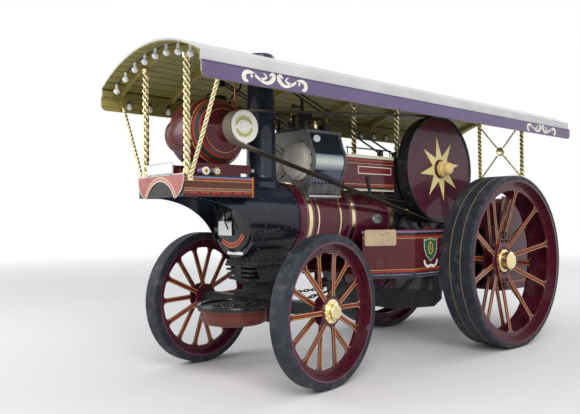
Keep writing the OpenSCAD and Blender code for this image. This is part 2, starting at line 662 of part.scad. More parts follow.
module flywheel() {
    color("#5c1522") translate([0, crank_y, crank_z]) {
        turned_x([[flywheel_x - flywheel_w, flywheel_d / 2 - 40], [flywheel_x - flywheel_w, flywheel_d / 2],
            [flywheel_x, flywheel_d / 2], [flywheel_x, flywheel_d / 2 - 18], [flywheel_x - 14, flywheel_d / 2 - 26],
            [flywheel_x - 14, 120], [flywheel_x + 10, 110], [flywheel_x + 10, shaft_d / 2 + seat], [flywheel_x - flywheel_w - 5, shaft_d / 2 + seat],
            [flywheel_x - flywheel_w - 5, 110], [flywheel_x - 34, 130], [flywheel_x - 34, flywheel_d / 2 - 40]]);
    }
    color("#e0c870") translate([0, crank_y, crank_z]) turned_x([[flywheel_x + 10, shaft_d / 2 + seat], [flywheel_x + 10, 97],
        [flywheel_x + 60, 97], [flywheel_x + 66, 76], [flywheel_x + 128, 72], [flywheel_x + 140, 58], [flywheel_x + 142, 0],
        [flywheel_x + 60, 0], [flywheel_x + 60, shaft_d / 2 + seat]]);
}

// Plan of the left tank, or of a moulding that stands proud of it
module tank_outline(proud) {
    a = atan2(tank_x - tank_in, tank_bend - tank_front);
    centre = [tank_x - corner_r, tank_bend + corner_r * tan(a / 2)];
    r = corner_r + proud;
    translate(centre) circle(r = r);
    polygon([[tank_in, tank_rear], [tank_x + proud, tank_rear], centre + [r, 0], centre + r * [cos(a), -sin(a)],
        [tank_in, tank_front - proud / sin(a)]]);
}
module belly_tank() {
    slot_y = hand_at[1] - (hand_at[2] - tank_plate_z - 7) / tan(90 - hand_tilt);
    bead = 22;
    plate_x = tank_in + 5;
    color("#5a1722") difference() {
        union() {
            both_sides() {
                translate([0, 0, tank_bottom]) linear_extrude(tank_top - tank_bottom) tank_outline(0);
                for (z = [tank_bottom, tank_top - bead - 12]) translate([0, 0, z]) linear_extrude(bead) tank_outline(7);
                // Filler lid
                translate([tank_in + 110, tank_rear - 200, tank_top - 1]) cylinder(r = 70, h = 26);
            }
            translate([-plate_x, tank_front, tank_plate_z]) cube([2 * plate_x, firebox_front - tank_front - seat, 14]);
            // Brackets to the hornplates
            both_sides() for (b = [[firebox_front + 30, 1300], [tank_rear - 90, 985]])
                translate([horn_x + seat, b[0], b[1]]) cube([tank_in - horn_x, 60, 30]);
        }
        translate([shaft_x - 30, slot_y - 75, tank_plate_z - 1]) cube([60, 300, 16]);
    }
}
module ashpan() {
    color("#18191b") difference() {
        side_plate(-horn_x + 20, 2 * horn_x - 40) polygon([[firebox_front + 20, firebox_z - seat],
            [firebox_front + 60, 520], [firebox_rear - 200, 480], [firebox_rear - 40, 560], [firebox_rear - 20, firebox_z - seat]]);
        side_plate(-horn_x + 30, 2 * horn_x - 60) polygon([[firebox_front + 40, firebox_z + 10], [firebox_front + 72, 530],
            [firebox_rear - 206, 490], [firebox_rear - 52, 566], [firebox_rear - 36, firebox_z + 10]]);
    }
}

// Tender: water tank below, coal bunker at the back, open footplate ahead of it
module tender() {
    wall = 10;
    bunker = hind_y + 980;
    bead = 26;
    bead_t = 9;
    color("#4d1520") {
        // Sides and back in one rounded sheet
        intersection() {
            translate([0, 0, tender_z - 1]) linear_extrude(tender_top - tender_z + 1) difference() {
                rounded([-tender_x, tender_front - 2 * corner_r], [tender_x, tender_rear], corner_r);
                rounded([-tender_x + wall, tender_front - 3 * corner_r], [tender_x - wall, tender_rear - wall], corner_r - wall);
            }
            side_plate(-tender_x - 1, 2 * tender_x + 2) polygon([[tender_front, 740], [tender_front, 1500],
                [tender_front + 330, 1500], [tender_front + 430, tender_top], [tender_rear + 1, tender_top],
                [tender_rear + 1, tender_z + 120], [tender_rear - 60, tender_z], [tender_body + 40, tender_z], [tender_body, 740]]);
        }
        translate([-tender_x + wall - 1, bunker, tender_floor]) cube([2 * (tender_x - wall) + 2, wall, tender_top - tender_floor - 60]);
        // Water tank under the bunker and the rear of the footplate
        intersection() {
            translate([0, 0, tender_z - 1]) linear_extrude(tender_floor - tender_z + 1)
                rounded([-tender_x + wall - 1, tender_body], [tender_x - wall + 1, tender_rear - wall + 1], corner_r - wall);
            side_plate(-tender_x, 2 * tender_x) polygon([[tender_body, tender_floor], [tender_rear, tender_floor],
                [tender_rear, tender_z + 120], [tender_rear - 60, tender_z], [tender_body + 40, tender_z], [tender_body, tender_z + 140]]);
        }
        translate([-horn_x + horn_t + seat, firebox_rear + seat, tender_floor])
            cube([2 * (horn_x - horn_t - seat), tender_body + 1 - firebox_rear - seat, 16]);
        // Shelf under the rear columns
        translate([-420, column_table[2][0] - 45, tender_top - 30]) cube([840, tender_rear - column_table[2][0] + 40, 30]);
        // Beading along the top
        translate([0, 0, tender_top - bead]) linear_extrude(bead) intersection() {
            difference() {
                rounded([-tender_x - bead_t, tender_front], [tender_x + bead_t, tender_rear + bead_t], corner_r + bead_t);
                rounded([-tender_x + 1, tender_front - corner_r], [tender_x - 1, tender_rear - 1], corner_r - 1);
            }
            translate([-tender_x - bead_t, tender_front + 430]) square([2 * (tender_x + bead_t), tender_rear]);
        }
    }
}
module footplate_fittings() {
    back = firebox_rear + seat;
    color("#b08d3c") {
        // Pressure gauge on its bracket
        translate([0, back + 20, 1880]) rotate([-90, 0, 0]) rotate_extrude() polygon([[0, 0], [85, 0], [90, 12], [90, 34], [78, 44],
            [74, 38], [0, 38]]);
        translate([0, back, 1840]) rod_y(20, 0, 24);
        // Regulator box with its handle
        translate([-60, back, 1690]) cube([120, 70, 80]);
        translate([0, back + 70, 1730]) rod_y(16, -1, 40);
        bar([0, back + 100, 1730], [190, back + 100, 1800], 10);
        // Gauge glasses
        for (x = [-250, 250]) {
            for (z = [1640, 1800]) translate([x, back, z]) rod_y(14, 0, 50);
            translate([x, back + 40, 1630]) cylinder(r = 12, h = 190);
        }
    }
}
module drawbar() {
    color("#222326") difference() {
        union() {
            translate([-120, tender_rear + seat, 690]) cube([240, 30, 320]);
            for (z = [770, 880]) translate([-75, tender_rear + 20, z]) cube([150, 110, 30]);
        }
        translate([0, tender_rear + 90, 700]) cylinder(r = pin_d / 2 + run, h = 300);
    }
}
// Dynamo platform ahead of the chimney
module platform() {
    color("#5c1522") difference() {
        union() {
            translate([-platform_x, platform_front, platform_z - 12]) cube([2 * platform_x, platform_back - platform_front, 12]);
            both_sides() translate([platform_x - 10, platform_front, platform_z - 195]) cube([10, platform_back - platform_front, 190]);
            for (y = [platform_front, platform_back - 10]) translate([-platform_x + 5, y, platform_z - 195]) cube([2 * platform_x - 10, 10, 190]);
        }
        translate([0, 0, boiler_z]) rod_y(smokebox_r + seat, platform_front + 29, platform_back + 10);
        translate([0, 0, boiler_z - 60]) rod_y(250, platform_front - 10, platform_front + 20);
    }
}
module front_plates() {
    color("#c9776f") cross_plate(platform_front - 8 - seat, 8) difference() {
        polygon([[-432, platform_z + 12], [432, platform_z + 12], [425, platform_z - 60], [330, platform_z - 205], [-330, platform_z - 205], [-425, platform_z - 60]]);
        translate([0, platform_z - 305]) circle(r = 235);
    }
    color("#e8e8e6") cross_plate(platform_front - 16 - 2 * seat, 8) translate([-250, platform_z + 14]) square([500, 108]);
    color("#1c1d20") both_sides() translate([200, platform_front - 8, platform_z + seat]) cube([20, 30, 100]);
}
module dynamo_frame() {
    color("#5e1a1e") difference() {
        union() {
            translate([0, dynamo_y, dynamo_z]) {
                turned_x([[-280, 60], [-280, 235], [-262, 262], [-215, dynamo_r - 12], [-200, dynamo_r], [110, dynamo_r], [125, dynamo_r - 12],
                    [150, 322], [215, 285], [250, 262], [258, 205], [300, 120], [370, 80], [370, 60]]);
                turned_x([[-470, 30 + run], [-470, 120], [-440, 190], [-300, 235], [-279, 235], [-279, 30 + run]]);
            }
            both_sides() translate([150, dynamo_y - 330, platform_z + 50]) cube([90, 660, 80]);
            both_sides() translate([190, platform_front + 60, platform_z + seat]) cube([50, 690, 60]);
        }
        translate([0, dynamo_y, dynamo_z]) rod_x(30 + run, -500, 500);
        translate([0, dynamo_y, dynamo_z]) rod_x(200, -255, 245);
    }
    color("#5e1a1e") translate([-8, dynamo_y, dynamo_z + dynamo_r + 22]) rotate([0, 90, 0]) difference() {
        cylinder(r = 34, h = 16);
        translate([0, 0, -1]) cylinder(r = 17, h = 18);
    }
}
module dynamo_pulley() {
    color("#e4e0d4") translate([0, dynamo_y, dynamo_z]) {
        turned_x([[belt_x - 73, 30], [belt_x - 73, pulley_d / 2], [belt_x + 73, pulley_d / 2], [belt_x + 73, pulley_d / 2 - 16],
            [belt_x + 60, pulley_d / 2 - 24], [belt_x + 60, 52], [belt_x + 76, 46], [belt_x + 76, 0], [belt_x, 0], [belt_x, 30]]);
        rod_x(30, -460, belt_x - 72);
        rod_x(180, -240, 160);
    }
}
// Belt round the flywheel and the dynamo's pulley: two arcs and the two straight runs between them
module drive_belt() {
    r1 = flywheel_d / 2 + seat;
    r2 = pulley_d / 2 + seat;
    dy = crank_y - dynamo_y;
    dz = dynamo_z - crank_z;
    span = norm([dy, dz]);
    lean = asin((r1 - r2) / span);
    color("#2b2a25") translate([belt_x - belt_w / 2, crank_y, crank_z]) rotate([90, 0, 90])
        rotate(180 - atan2(dz, dy)) {
            rotate(90 - lean) rotate_extrude(angle = 180 + 2 * lean, $fn = 96) translate([r1, 0]) square([belt_t, belt_w]);
            translate([span, 0]) rotate(lean - 90) rotate_extrude(angle = 180 - 2 * lean, $fn = 96)
                translate([r2, 0]) square([belt_t, belt_w]);
            for (s = [-1, 1]) rotate(s * (90 - lean)) translate([r1, s > 0 ? -span * cos(lean) : 0, 0])
                cube([belt_t, span * cos(lean), belt_w]);
        }
}

// Canopy: arched roof, side boards, ribs and lamps
module arch(r, x) {
    intersection() {
        translate([0, ridge_z - roof_r]) circle(r = r, $fn = 360);
        translate([-x, board_z - 200]) square([2 * x, 1000]);
    }
}
module canopy_roof() {
    color("#d9d6c8") difference() {
        cross_plate(canopy_front, canopy_len) difference() {
            union() {
                difference() {
                    arch(roof_r, canopy_x - 22);
                    translate([0, ridge_z - roof_r]) circle(r = roof_r - roof_t, $fn = 360);
                }
                for (s = [-1, 1]) translate([s * (canopy_x - 34) - 12, board_z + board_h + seat])
                    square([24, roof_z(canopy_x - 34) - board_z - board_h - 10]);
            }
        }
        translate([0, chimney_y, 2800]) cylinder(r = chimney_d / 2 + 12, h = 800);
    }
}
module canopy_boards() {
    rc = 60;
    color("#6f5f92") both_sides() side_plate(canopy_x - board_t, board_t) union() {
        translate([canopy_front, board_z + rc]) square([canopy_len, board_h - rc]);
        translate([canopy_front + rc, board_z]) square([canopy_len - 2 * rc, rc + 1]);
        for (y = [canopy_front + rc, -canopy_front - rc]) translate([y, board_z + rc]) circle(r = rc);
    }
}
module canopy_ribs() {
    color("#8a7f3c") for (y = rib_places) cross_plate(y - 16, 32) difference() {
        arch(roof_r - roof_t - seat, canopy_x - 46 - seat);
        translate([0, ridge_z - roof_r]) circle(r = roof_r - roof_t - seat - rib_d, $fn = 360);
    }
}
module columns() {
    collar = 40;
    front = column_table[0];
    rear = column_table[2];
    rear_x = rear[1] - column_r / 2;
    rear_z = [rear[2] + 330, rib_z(rear[1]) - 70];
    boss_z = (rear_z[0] + rear_z[1]) / 2;
    boss_r = 75;
    slope = (rear_z[1] - boss_z) / rear_x;
    boss_in = (boss_r - 15) / norm([1, slope]);
    color("#d8c98a") {
        for (c = column_table, s = [-1, 1]) {
            top = rib_z(c[1] + column_r + 8) - seat;
            translate([s * c[1], c[0], c[2] + seat]) cylinder(r = column_r + 10, h = collar);
            twisted([s * c[1], c[0], c[2] + collar + seat - 1], [s * c[1], c[0], top - collar + 1], column_r, 1);
            translate([s * c[1], c[0], top - collar]) cylinder(r = column_r + 8, h = collar);
        }
        for (s = [-1, 1]) {
            // Front braces, from the platform's side out to the boards
            foot = [s * (platform_x + 18), front[0], platform_z - 25];
            head = [s * (canopy_x - board_t - 60), front[0], board_z + 40];
            twisted(foot, head, 17, -1);
            translate(foot - [9 + s * (9 - seat), 25, 30]) cube([18, 50, 60]);
            translate(head - [(s > 0 ? 25 : 60 - seat), 20, 12]) cube([85 - seat, 40, 24]);
            // Crossed braces between the rear columns, which meet in a boss
            for (v = [-1, 1]) twisted([s * rear_x, rear[0], boss_z + v * slope * rear_x],
                [s * boss_in, rear[0], boss_z + v * slope * boss_in], 13, v);
        }
        translate([0, rear[0], boss_z]) rod_y(boss_r, -14, 14);
    }
}
module bulbs() {
    color("#e8ecee") for (x = [-840:210:840]) translate([x, canopy_front + 110, under_z(abs(x) + bulb_neck)]) {
        translate([0, 0, -45]) cylinder(r = bulb_neck, h = 45 - seat);
        translate([0, 0, -72]) sphere(r = bulb_r);
    }
}

module steering_brackets() {
    w = worm_at();
    u = hand_dir();
    color("#2a2c2f") {
        both_sides() difference() {
            translate([horn_x - 10, roller_y - 45, roller_z - 60]) cube([16, 90, tank_plate_z - roller_z + 60 - seat]);
            translate([0, roller_y, roller_z]) rod_x(28 + run, 0, 600);
        }
        difference() {
            union() {
                translate([horn_x - 10, w[1] - 110, w[2] - 60]) cube([16, 80, 60 + roller_z - w[2]]);
                translate(w - 62 * u) rotate([-hand_tilt, 0, 0]) translate([-44, -24, -15]) cube([76, 48, 30]);
            }
            translate(w - 100 * u) rotate([-hand_tilt, 0, 0]) cylinder(r = steer_shaft_r + run, h = 100);
            translate([0, roller_y, roller_z]) rod_x(28 + run, 0, 600);
        }
        // Upper bearing on the hornplate
        difference() {
            translate(hand_at - 470 * u) rotate([-hand_tilt, 0, 0])
                translate([horn_x + seat - shaft_x, -25, -15]) cube([shaft_x - horn_x + 28, 50, 30]);
            translate(hand_at - 500 * u) rotate([-hand_tilt, 0, 0]) cylinder(r = steer_shaft_r + run, h = 60);
        }
    }
}
module steering_roller() {
    color("#3b3d40") translate([0, roller_y, roller_z]) {
        rod_x(28, -horn_x - 30, shaft_x + 20);
        for (s = [-1, 1]) rod_x(roller_r, s * chain_x - 45, s * chain_x + 45);
        rod_x(worm_wheel_r, shaft_x - 20, shaft_x + 20);
    }
}
// The steering shaft runs from the worm, under the roller's worm wheel, up to the hand wheel
worm_gap = worm_wheel_r + worm_r + 1;
hand_span = [hand_at[1] - roller_y, hand_at[2] - roller_z];
hand_tilt = 90 - atan2(hand_span[1], hand_span[0]) - asin(worm_gap / norm(hand_span));
function hand_dir() = [0, sin(hand_tilt), cos(hand_tilt)];
function worm_at() = [shaft_x, roller_y + worm_gap * cos(hand_tilt), roller_z - worm_gap * sin(hand_tilt)];
module steering_wheel() {
    len = norm(hand_at - worm_at());
    color("#3a2a20") translate(hand_at) rotate([-hand_tilt, 0, 0]) {
        rotate_extrude($fn = 64) translate([hand_r, 0]) circle(r = 13, $fn = 24);
        for (i = [0:3]) rotate(i * 90) translate([0, -8, -7]) cube([hand_r, 16, 14]);
        translate([0, 0, -25]) cylinder(r = 32, h = 45);
        translate([0, 0, -len - 80]) cylinder(r = steer_shaft_r, h = len + 80);
        translate([0, 0, -len]) rotate_extrude() polygon(concat([[0, -42]], [for (i = [0:6], q = [[-5, -6], [-2, 0], [2, 0], [5, -6]])
            [worm_r + q[1], (i - 3) * 12 + q[0]]], [[0, 42]]));
    }
}
// A chain from the roller towards its eye on the axle, over the roller on the left and under it on the right
module chain(side) {
    pitch = link_w * 1.8;
    eye = [side * chain_x * cos(steer_rest) - eye_back * sin(steer_rest),
        front_y + side * chain_x * sin(steer_rest) + eye_back * cos(steer_rest), front_d / 2];
    reach = norm([roller_y - eye[1], roller_z - eye[2]]);
    rise = atan2(roller_z - eye[2], roller_y - eye[1]) + side * asin(wrap_r / reach);
    run_len = sqrt(reach * reach - wrap_r * wrap_r);
    end = [side * chain_x, eye[1] + run_len * cos(rise), eye[2] + run_len * sin(rise)];
    d = (eye - end) / norm(eye - end);
    count = floor((norm(eye - end) - eye_r - 60) / pitch);
    color("#4a4c50") translate(end) rotate([0, acos(d[2]), atan2(d[1], d[0])])
        for (i = [0:count - 1]) translate([0, 0, (i + 0.2) * pitch]) rotate([90, 0, i % 2 * 90])
            linear_extrude(link_w * 0.38, center = true) difference() {
                union() {
                    square([link_w, pitch - link_w * 0.4], center = true);
                    for (s = [-1, 1]) translate([0, s * (pitch / 2 - link_w * 0.2)]) circle(r = link_w / 2);
                }
                square([link_w * 0.35, pitch - link_w * 0.6], center = true);
            }
}
module chain_left() { chain(1); }
module chain_right() { chain(-1); }
module firehole_door() {
    color("#303236") translate([0, firebox_rear + seat, 1510]) {
        translate([-150, 0, -105]) cube([300, 14, 210]);
        translate([-150, 9, -105]) cylinder(r = 9, h = 210);
    }
}

boiler();
boiler_bands();
smokebox();
chimney();
perch_bracket();
cylinder_block();
cylinder_covers();
safety_valves();
motion_covers();
motion_rods();
hornplates();
hind_axle();
belly_tank();
ashpan();
tender();
footplate_fittings();
drawbar();
platform();
front_plates();
dynamo_frame();
canopy_roof();
canopy_boards();
canopy_ribs();
columns();
bulbs();
drive_belt();
steering_brackets();
smokebox_door();
firehole_door();
crankshaft();
flywheel();
dynamo_pulley();
fore_axle();
fore_tray();
steering_roller();
steering_wheel();
chain_left();
chain_right();
front_tyre_left();
front_wheel_left();
front_tyre_right();
front_wheel_right();
hind_tyre_left();
hind_wheel_left();
hind_tyre_right();
hind_wheel_right();
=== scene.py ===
from math import asin, atan2, ceil, cos, degrees, hypot, pi, radians, sin, sqrt
import bpy
from mathutils import Matrix, Vector


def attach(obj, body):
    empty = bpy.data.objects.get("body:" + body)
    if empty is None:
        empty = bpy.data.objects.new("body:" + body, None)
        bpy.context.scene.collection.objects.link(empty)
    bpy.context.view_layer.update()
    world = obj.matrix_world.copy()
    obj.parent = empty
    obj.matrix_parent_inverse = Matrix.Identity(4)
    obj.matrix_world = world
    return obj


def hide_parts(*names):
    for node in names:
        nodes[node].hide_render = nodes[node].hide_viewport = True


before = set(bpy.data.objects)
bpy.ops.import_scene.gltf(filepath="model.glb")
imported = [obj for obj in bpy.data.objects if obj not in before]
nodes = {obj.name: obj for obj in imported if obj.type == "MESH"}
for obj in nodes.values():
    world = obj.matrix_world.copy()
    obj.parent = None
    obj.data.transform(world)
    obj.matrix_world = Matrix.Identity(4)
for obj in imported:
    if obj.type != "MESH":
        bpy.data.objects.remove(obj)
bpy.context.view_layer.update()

# ---------------------------------------------------------------- places on the engine, in metres
HIND_Y, HIND_X, HIND_Z = 1.233, 1.0195, 1.065
FRONT_Y, FRONT_X, FRONT_Z = -1.887, 0.8945, 0.734
STEER = radians(9)  # turn of the front axle at rest
CRANK_Y, CRANK_Z = 0.515, 2.217
BOILER_Z, SHELL_R, SMOKE_FRONT, FIREBOX_FRONT = 1.610, 0.385, -2.197, -0.167
CHIMNEY_Y, DYN_Y, DYN_Z = -1.847, -2.493, 2.472
ROOF_R, RIDGE_Z, BOARD_Z, PLAT_Z = 2.0, 3.245, 2.762, 2.020
MOTION_TOP, MOTION_LOW, PLATE_X = 2.335, 1.925, 0.412
TANK_X, TENDER_X, TENDER_BACK = 0.780, 0.660, 3.003
# Places of the forms that replace those of part.scad; each brass band has its middle and its width
CYL_FRONT, CYL_REAR, CYL_TOP, CYL_X, CYL_Z = -1.502, -1.0075, 2.540, 0.21, 2.235
COLUMN_R, TRAY_Z = 0.034, 0.574
BANDS = [(-1.495, 0.05), (-1.380, 0.018), (-1.051, 0.018), (-0.849, 0.05), (-0.197, 0.05)]


# ---------------------------------------------------------------- materials
# Reflections are held low, because glossy rays see a white world that would wash out dark paint
PAINT_SHINE, COAT_SHARE = 0.22, 0.42


class Graph:
    """Short names for shader nodes; every input may be a number, a colour or a socket."""

    def __init__(self, name):
        self.mat = bpy.data.materials.new(name)
        self.mat.use_nodes = True
        self.tree = self.mat.node_tree
        self.bsdf = self.tree.nodes["Principled BSDF"]
        self.coord = self.node("TexCoord").outputs["Object"]
        self.x, self.y, self.z = self.node("SeparateXYZ", {0: self.coord}).outputs

    def node(self, kind, inputs=None, **settings):
        """A new node with its settings made and its inputs, by name or number, filled."""
        n = self.tree.nodes.new("ShaderNode" + kind)
        for key, value in settings.items():
            setattr(n, key, value)
        for key, value in (inputs or {}).items():
            self.put(n.inputs[key], value)
        return n

    def put(self, socket, value):
        if isinstance(value, bpy.types.NodeSocket):
            self.tree.links.new(value, socket)
        elif isinstance(value, (tuple, list)) and len(socket.default_value) == 4:
            socket.default_value = (*value[:3], 1)
        else:
            socket.default_value = value

    def math(self, op, a, b=0.0):
        return self.node("Math", {0: a, 1: b}, operation=op).outputs[0]

    def add(self, a, b): return self.math("ADD", a, b)
    def sub(self, a, b): return self.math("SUBTRACT", a, b)
    def mul(self, a, b): return self.math("MULTIPLY", a, b)
    def less(self, a, b): return self.math("LESS_THAN", a, b)
    def more(self, a, b): return self.math("GREATER_THAN", a, b)
    def either(self, a, b): return self.math("MAXIMUM", a, b)
    def abs(self, v): return self.math("ABSOLUTE", v)
    def band(self, v, lo, hi): return self.mul(self.more(v, lo), self.less(v, hi))

    def radius(self, a, b, ca, cb):
        da, db = self.sub(a, ca), self.sub(b, cb)
        return self.math("SQRT", self.add(self.mul(da, da), self.mul(db, db)))

    def mix(self, fac, a, b):
        return self.node("Mix", {"Factor": fac, 6: a, 7: b}, data_type="RGBA").outputs[2]

    def noise(self, scale, detail=4.0, stretch=(1, 1, 1)):
        at = self.node("Mapping", {0: self.coord, "Scale": stretch}).outputs[0]
        return self.node("TexNoise", {"Vector": at, "Scale": scale, "Detail": detail}).outputs["Fac"]

    def ramp(self, value, lo, hi, a, b):
        return self.node("MapRange", {0: value, 1: lo, 2: hi, 3: a, 4: b}).outputs[0]

    def bump(self, height, strength, distance):
        n = self.node("Bump", {"Strength": strength, "Distance": distance, "Height": height})
        self.set("Normal", n.outputs[0])

    def blend(self, fac, lo, hi, a, b): return self.mix(self.ramp(fac, lo, hi, 0, 1), a, b)

    def drift(self, rgb, vary):
        """The colour of a paint, darker and lighter in places."""
        return self.blend(self.noise(3.0, 3.0), 0.3, 0.7, shade(rgb, 1 - vary), shade(rgb, 1 + vary))

    def dusty(self, color, amount):
        return self.mix(self.ramp(self.noise(11.0, 6.0), 0.52, 0.78, 0, amount), color, DUST)

    def set(self, name, value): self.put(self.bsdf.inputs[name], value)

    def finish(self, color, rough, metal=0.0, coat=0.0):
        self.set("Base Color", color)
        self.set("Roughness", rough)
        if not self.bsdf.inputs["Metallic"].is_linked:  # a mask may have set it already
            self.set("Metallic", metal)
        self.set("Specular IOR Level", 0.5 if metal else PAINT_SHINE)
        self.set("Coat Weight", coat * COAT_SHARE)
        self.set("Coat Roughness", 0.06)
        return self.mat


# Colours
MAROON, DARK, GOLD = (0.078, 0.0065, 0.019), (0.016, 0.017, 0.021), (0.62, 0.36, 0.07)
RED, CREAM, DUST = (0.48, 0.028, 0.012), (0.78, 0.72, 0.52), (0.32, 0.29, 0.25)
NAVY, BRASS, LILAC = (0.012, 0.028, 0.065), (0.88, 0.75, 0.42), (0.20, 0.13, 0.24)
GREEN = (0.01, 0.055, 0.04)


def shade(c, k): return tuple(min(1, v * k) for v in c)


def paint(name, rgb, rough=0.35, coat=0.8, vary=0.18, lines=None, dust=0.06, metal=0.0, grain=60.0, bump=0.0006):
    """Coach paint with a little colour drift, dust in patches, and lines or fields from lines(g, colour)."""
    g = Graph(name)
    color = g.drift(rgb, vary)
    if lines:
        color = lines(g, color)
    if dust:
        color = g.dusty(color, dust)
    r = g.ramp(g.noise(17.0, 5.0), 0.3, 0.75, max(0.03, rough - 0.08), rough + 0.1)
    g.bump(g.noise(grain, 2.0), 0.12, bump)
    return g.finish(color, r, metal, coat)


def stripes(g, base, v, where, table):
    """Lines across v: each row is from, to and colour; where masks them."""
    for lo, hi, c in table:
        m = g.band(v, lo, hi)
        base = g.mix(g.mul(m, where) if where is not None else m, base, c)
    return base


def lining(name, rgb):
    """Clean paint of lines and small plates."""
    return paint(name, rgb, coat=0.5, dust=0)


m_maroon = paint("maroon_paint", MAROON)
m_black = paint("black_paint", (0.010, 0.011, 0.015), rough=0.22, coat=1.0, dust=0.02)
# The shell is painted bluer towards its top, and the chimney above it is wholly that blue: a painted reflection of the
# sky on the black paint.
m_smoke = paint("smokebox_black", (0.008, 0.010, 0.015), rough=0.24, coat=1.0, dust=0.02,
                lines=lambda g, c: g.blend(g.z, 1.62, 1.92, c, (0.018, 0.026, 0.050)))
m_iron = paint("oiled_iron", (0.018, 0.019, 0.022), rough=0.5, coat=0.15, dust=0.08, grain=140.0, bump=0.0012)
m_steel = paint("bright_steel", (0.50, 0.51, 0.52), rough=0.24, coat=0, metal=1.0, vary=0.1, dust=0.03)
m_cover = paint("painted_cover", (0.56, 0.535, 0.48), rough=0.4, coat=0.2, vary=0.1, dust=0.1)
m_brass = paint("polished_brass", BRASS, rough=0.22, coat=0, metal=1.0, vary=0.08, dust=0.02)
m_twist = paint("column_brass", (0.90, 0.80, 0.50), rough=0.22, coat=0, metal=0.9, vary=0.05, dust=0.02)
# Dark olive for the columns' cores: painted shade in the grooves between the strands.
m_groove_shade = paint("column_groove", (0.17, 0.13, 0.02), rough=0.4, coat=0.2)
m_gold = lining("gold_lining", GOLD)
m_plate_red = lining("plate_red", (0.17, 0.012, 0.012))
m_rivet = paint("rivet_black", (0.040, 0.043, 0.052), rough=0.3, coat=0.6, dust=0.03)
m_red = lining("red_lining", RED)
m_cream = paint("cream_paint", (0.74, 0.72, 0.63), rough=0.4, coat=0.3, vary=0.06)
m_star = paint("star_paint", (0.78, 0.66, 0.30), coat=0.5, vary=0.06)
m_green = paint("green_paint", GREEN)
m_shield = paint("shield_paint", (0.008, 0.105, 0.055), coat=0.4)
m_white = paint("white_paint", (0.80, 0.80, 0.78), rough=0.4, coat=0.3, vary=0.05)
m_mat = paint("woven_mat", (0.50, 0.37, 0.24), rough=0.8, coat=0, vary=0.2, grain=260.0, bump=0.003,
              lines=lambda g, c: g.mix(g.more(g.noise(38.0, 3.0), 0.66), c, (0.07, 0.05, 0.035)))
m_copper = paint("copper_pipe", (0.62, 0.27, 0.14), rough=0.3, coat=0, metal=1.0)


def board_lines(g, base):
    """A dark bead along the top; planks on what faces the inside."""
    base = stripes(g, base, g.z, None, [(BOARD_Z + 0.128, BOARD_Z + 0.137, (0.05, 0.035, 0.10))])
    plank = g.less(g.math("FRACT", g.mul(g.z, 1 / 0.07)), 0.06)
    wood = g.mix(plank, g.mix(g.noise(7.0), (0.27, 0.215, 0.06), (0.36, 0.30, 0.10)), (0.06, 0.045, 0.015))
    return g.mix(g.less(g.abs(g.x), 0.972), base, wood)


m_purple = paint("purple_paint", (0.128, 0.094, 0.188), rough=0.38, coat=0.4, vary=0.08, lines=board_lines)
m_lilac = lining("lilac_lining", LILAC)
m_orange = lining("orange_lining", (0.56, 0.13, 0.02))
m_rust = paint("red_brown_paint", (0.12, 0.027, 0.018), rough=0.4, coat=0.5)


CREST_Z, CREST_R = 1.677, 0.295


def crest_lines(g, base):
    """Cream and rose lines round the arch, on the front face alone."""
    r = g.radius(g.x, g.z, 0, CREST_Z)
    return stripes(g, base, r, g.less(g.y, -3.0445), [
        (CREST_R, CREST_R + 0.009, CREAM), (CREST_R + 0.009, CREST_R + 0.034, (0.50, 0.22, 0.18)),
        (CREST_R + 0.034, CREST_R + 0.041, CREAM)])


m_plate = paint("front_plates_paint", (0.44, 0.14, 0.12), coat=0.4, lines=crest_lines)


def roof_lines(g, base):
    """Varnished boards below the sheet, running along the engine."""
    zc = RIDGE_Z - ROOF_R
    under = g.mul(g.less(g.radius(g.x, g.z, 0, zc), ROOF_R - 0.016), g.less(g.abs(g.x), 0.955))
    plank = g.math("FRACT", g.mul(g.math("ARCTAN2", g.x, g.sub(g.z, zc)), ROOF_R / 0.11))
    groove = g.either(g.less(plank, 0.07), g.more(plank, 0.96))
    grain = g.noise(5.0, 6.0, (14, 0.6, 14))
    wood = g.blend(grain, 0.35, 0.7, (0.21, 0.18, 0.048), (0.34, 0.295, 0.092))
    wood = g.mix(groove, wood, (0.055, 0.042, 0.012))
    return g.mix(under, base, wood)


m_roof = paint("canopy_sheet", (0.56, 0.56, 0.56), rough=0.45, coat=0.15, vary=0.07, lines=roof_lines)
m_rib = paint("varnished_rib", (0.30, 0.235, 0.06), rough=0.45, coat=0.3)


def tyre_lines(g, base):
    """Worn rubber, with two pale grooves on the hind tyres."""
    base = g.blend(g.noise(5, 4), 0.35, 0.7, base, (0.036, 0.041, 0.054))
    off = g.abs(g.sub(g.abs(g.x), HIND_X))
    groove = g.mul(g.band(off, 0.062, 0.0765),
                   g.mul(g.more(g.y, -0.5), g.more(g.radius(g.y, g.z, HIND_Y, HIND_Z), 1.05)))
    return g.mix(groove, base, (0.20, 0.155, 0.11))


m_tyre = paint("solid_rubber", (0.020, 0.023, 0.032), rough=0.6, coat=0, vary=0.2, lines=tyre_lines, dust=0.2,
               grain=220.0, bump=0.0015)


def wheel_material(name, front, side):
    """Maroon with a brass cap on the hub; at rest the front wheels are turned by STEER."""
    g = Graph(name)
    if front:
        y = g.sub(g.y, FRONT_Y)
        along = g.add(g.mul(g.x, cos(STEER)), g.mul(y, sin(STEER)))
        across = g.sub(g.mul(y, cos(STEER)), g.mul(g.x, sin(STEER)))
        cap = g.mul(g.more(g.mul(along, side), FRONT_X + 0.0595), g.less(g.radius(across, g.z, 0, FRONT_Z), 0.1155))
    else:
        cap = g.mul(g.more(g.mul(g.x, side), HIND_X + 0.0055), g.less(g.radius(g.y, g.z, HIND_Y, HIND_Z), 0.1415))
    color = g.mix(cap, g.dusty(g.drift(MAROON, 0.18), 0.05), BRASS)
    g.bump(g.noise(60.0, 2.0), 0.12, 0.0006)
    g.set("Metallic", cap)
    return g.finish(color, g.ramp(g.noise(17.0, 5.0), 0.3, 0.75, 0.2, 0.34), 0.0, 0.8)


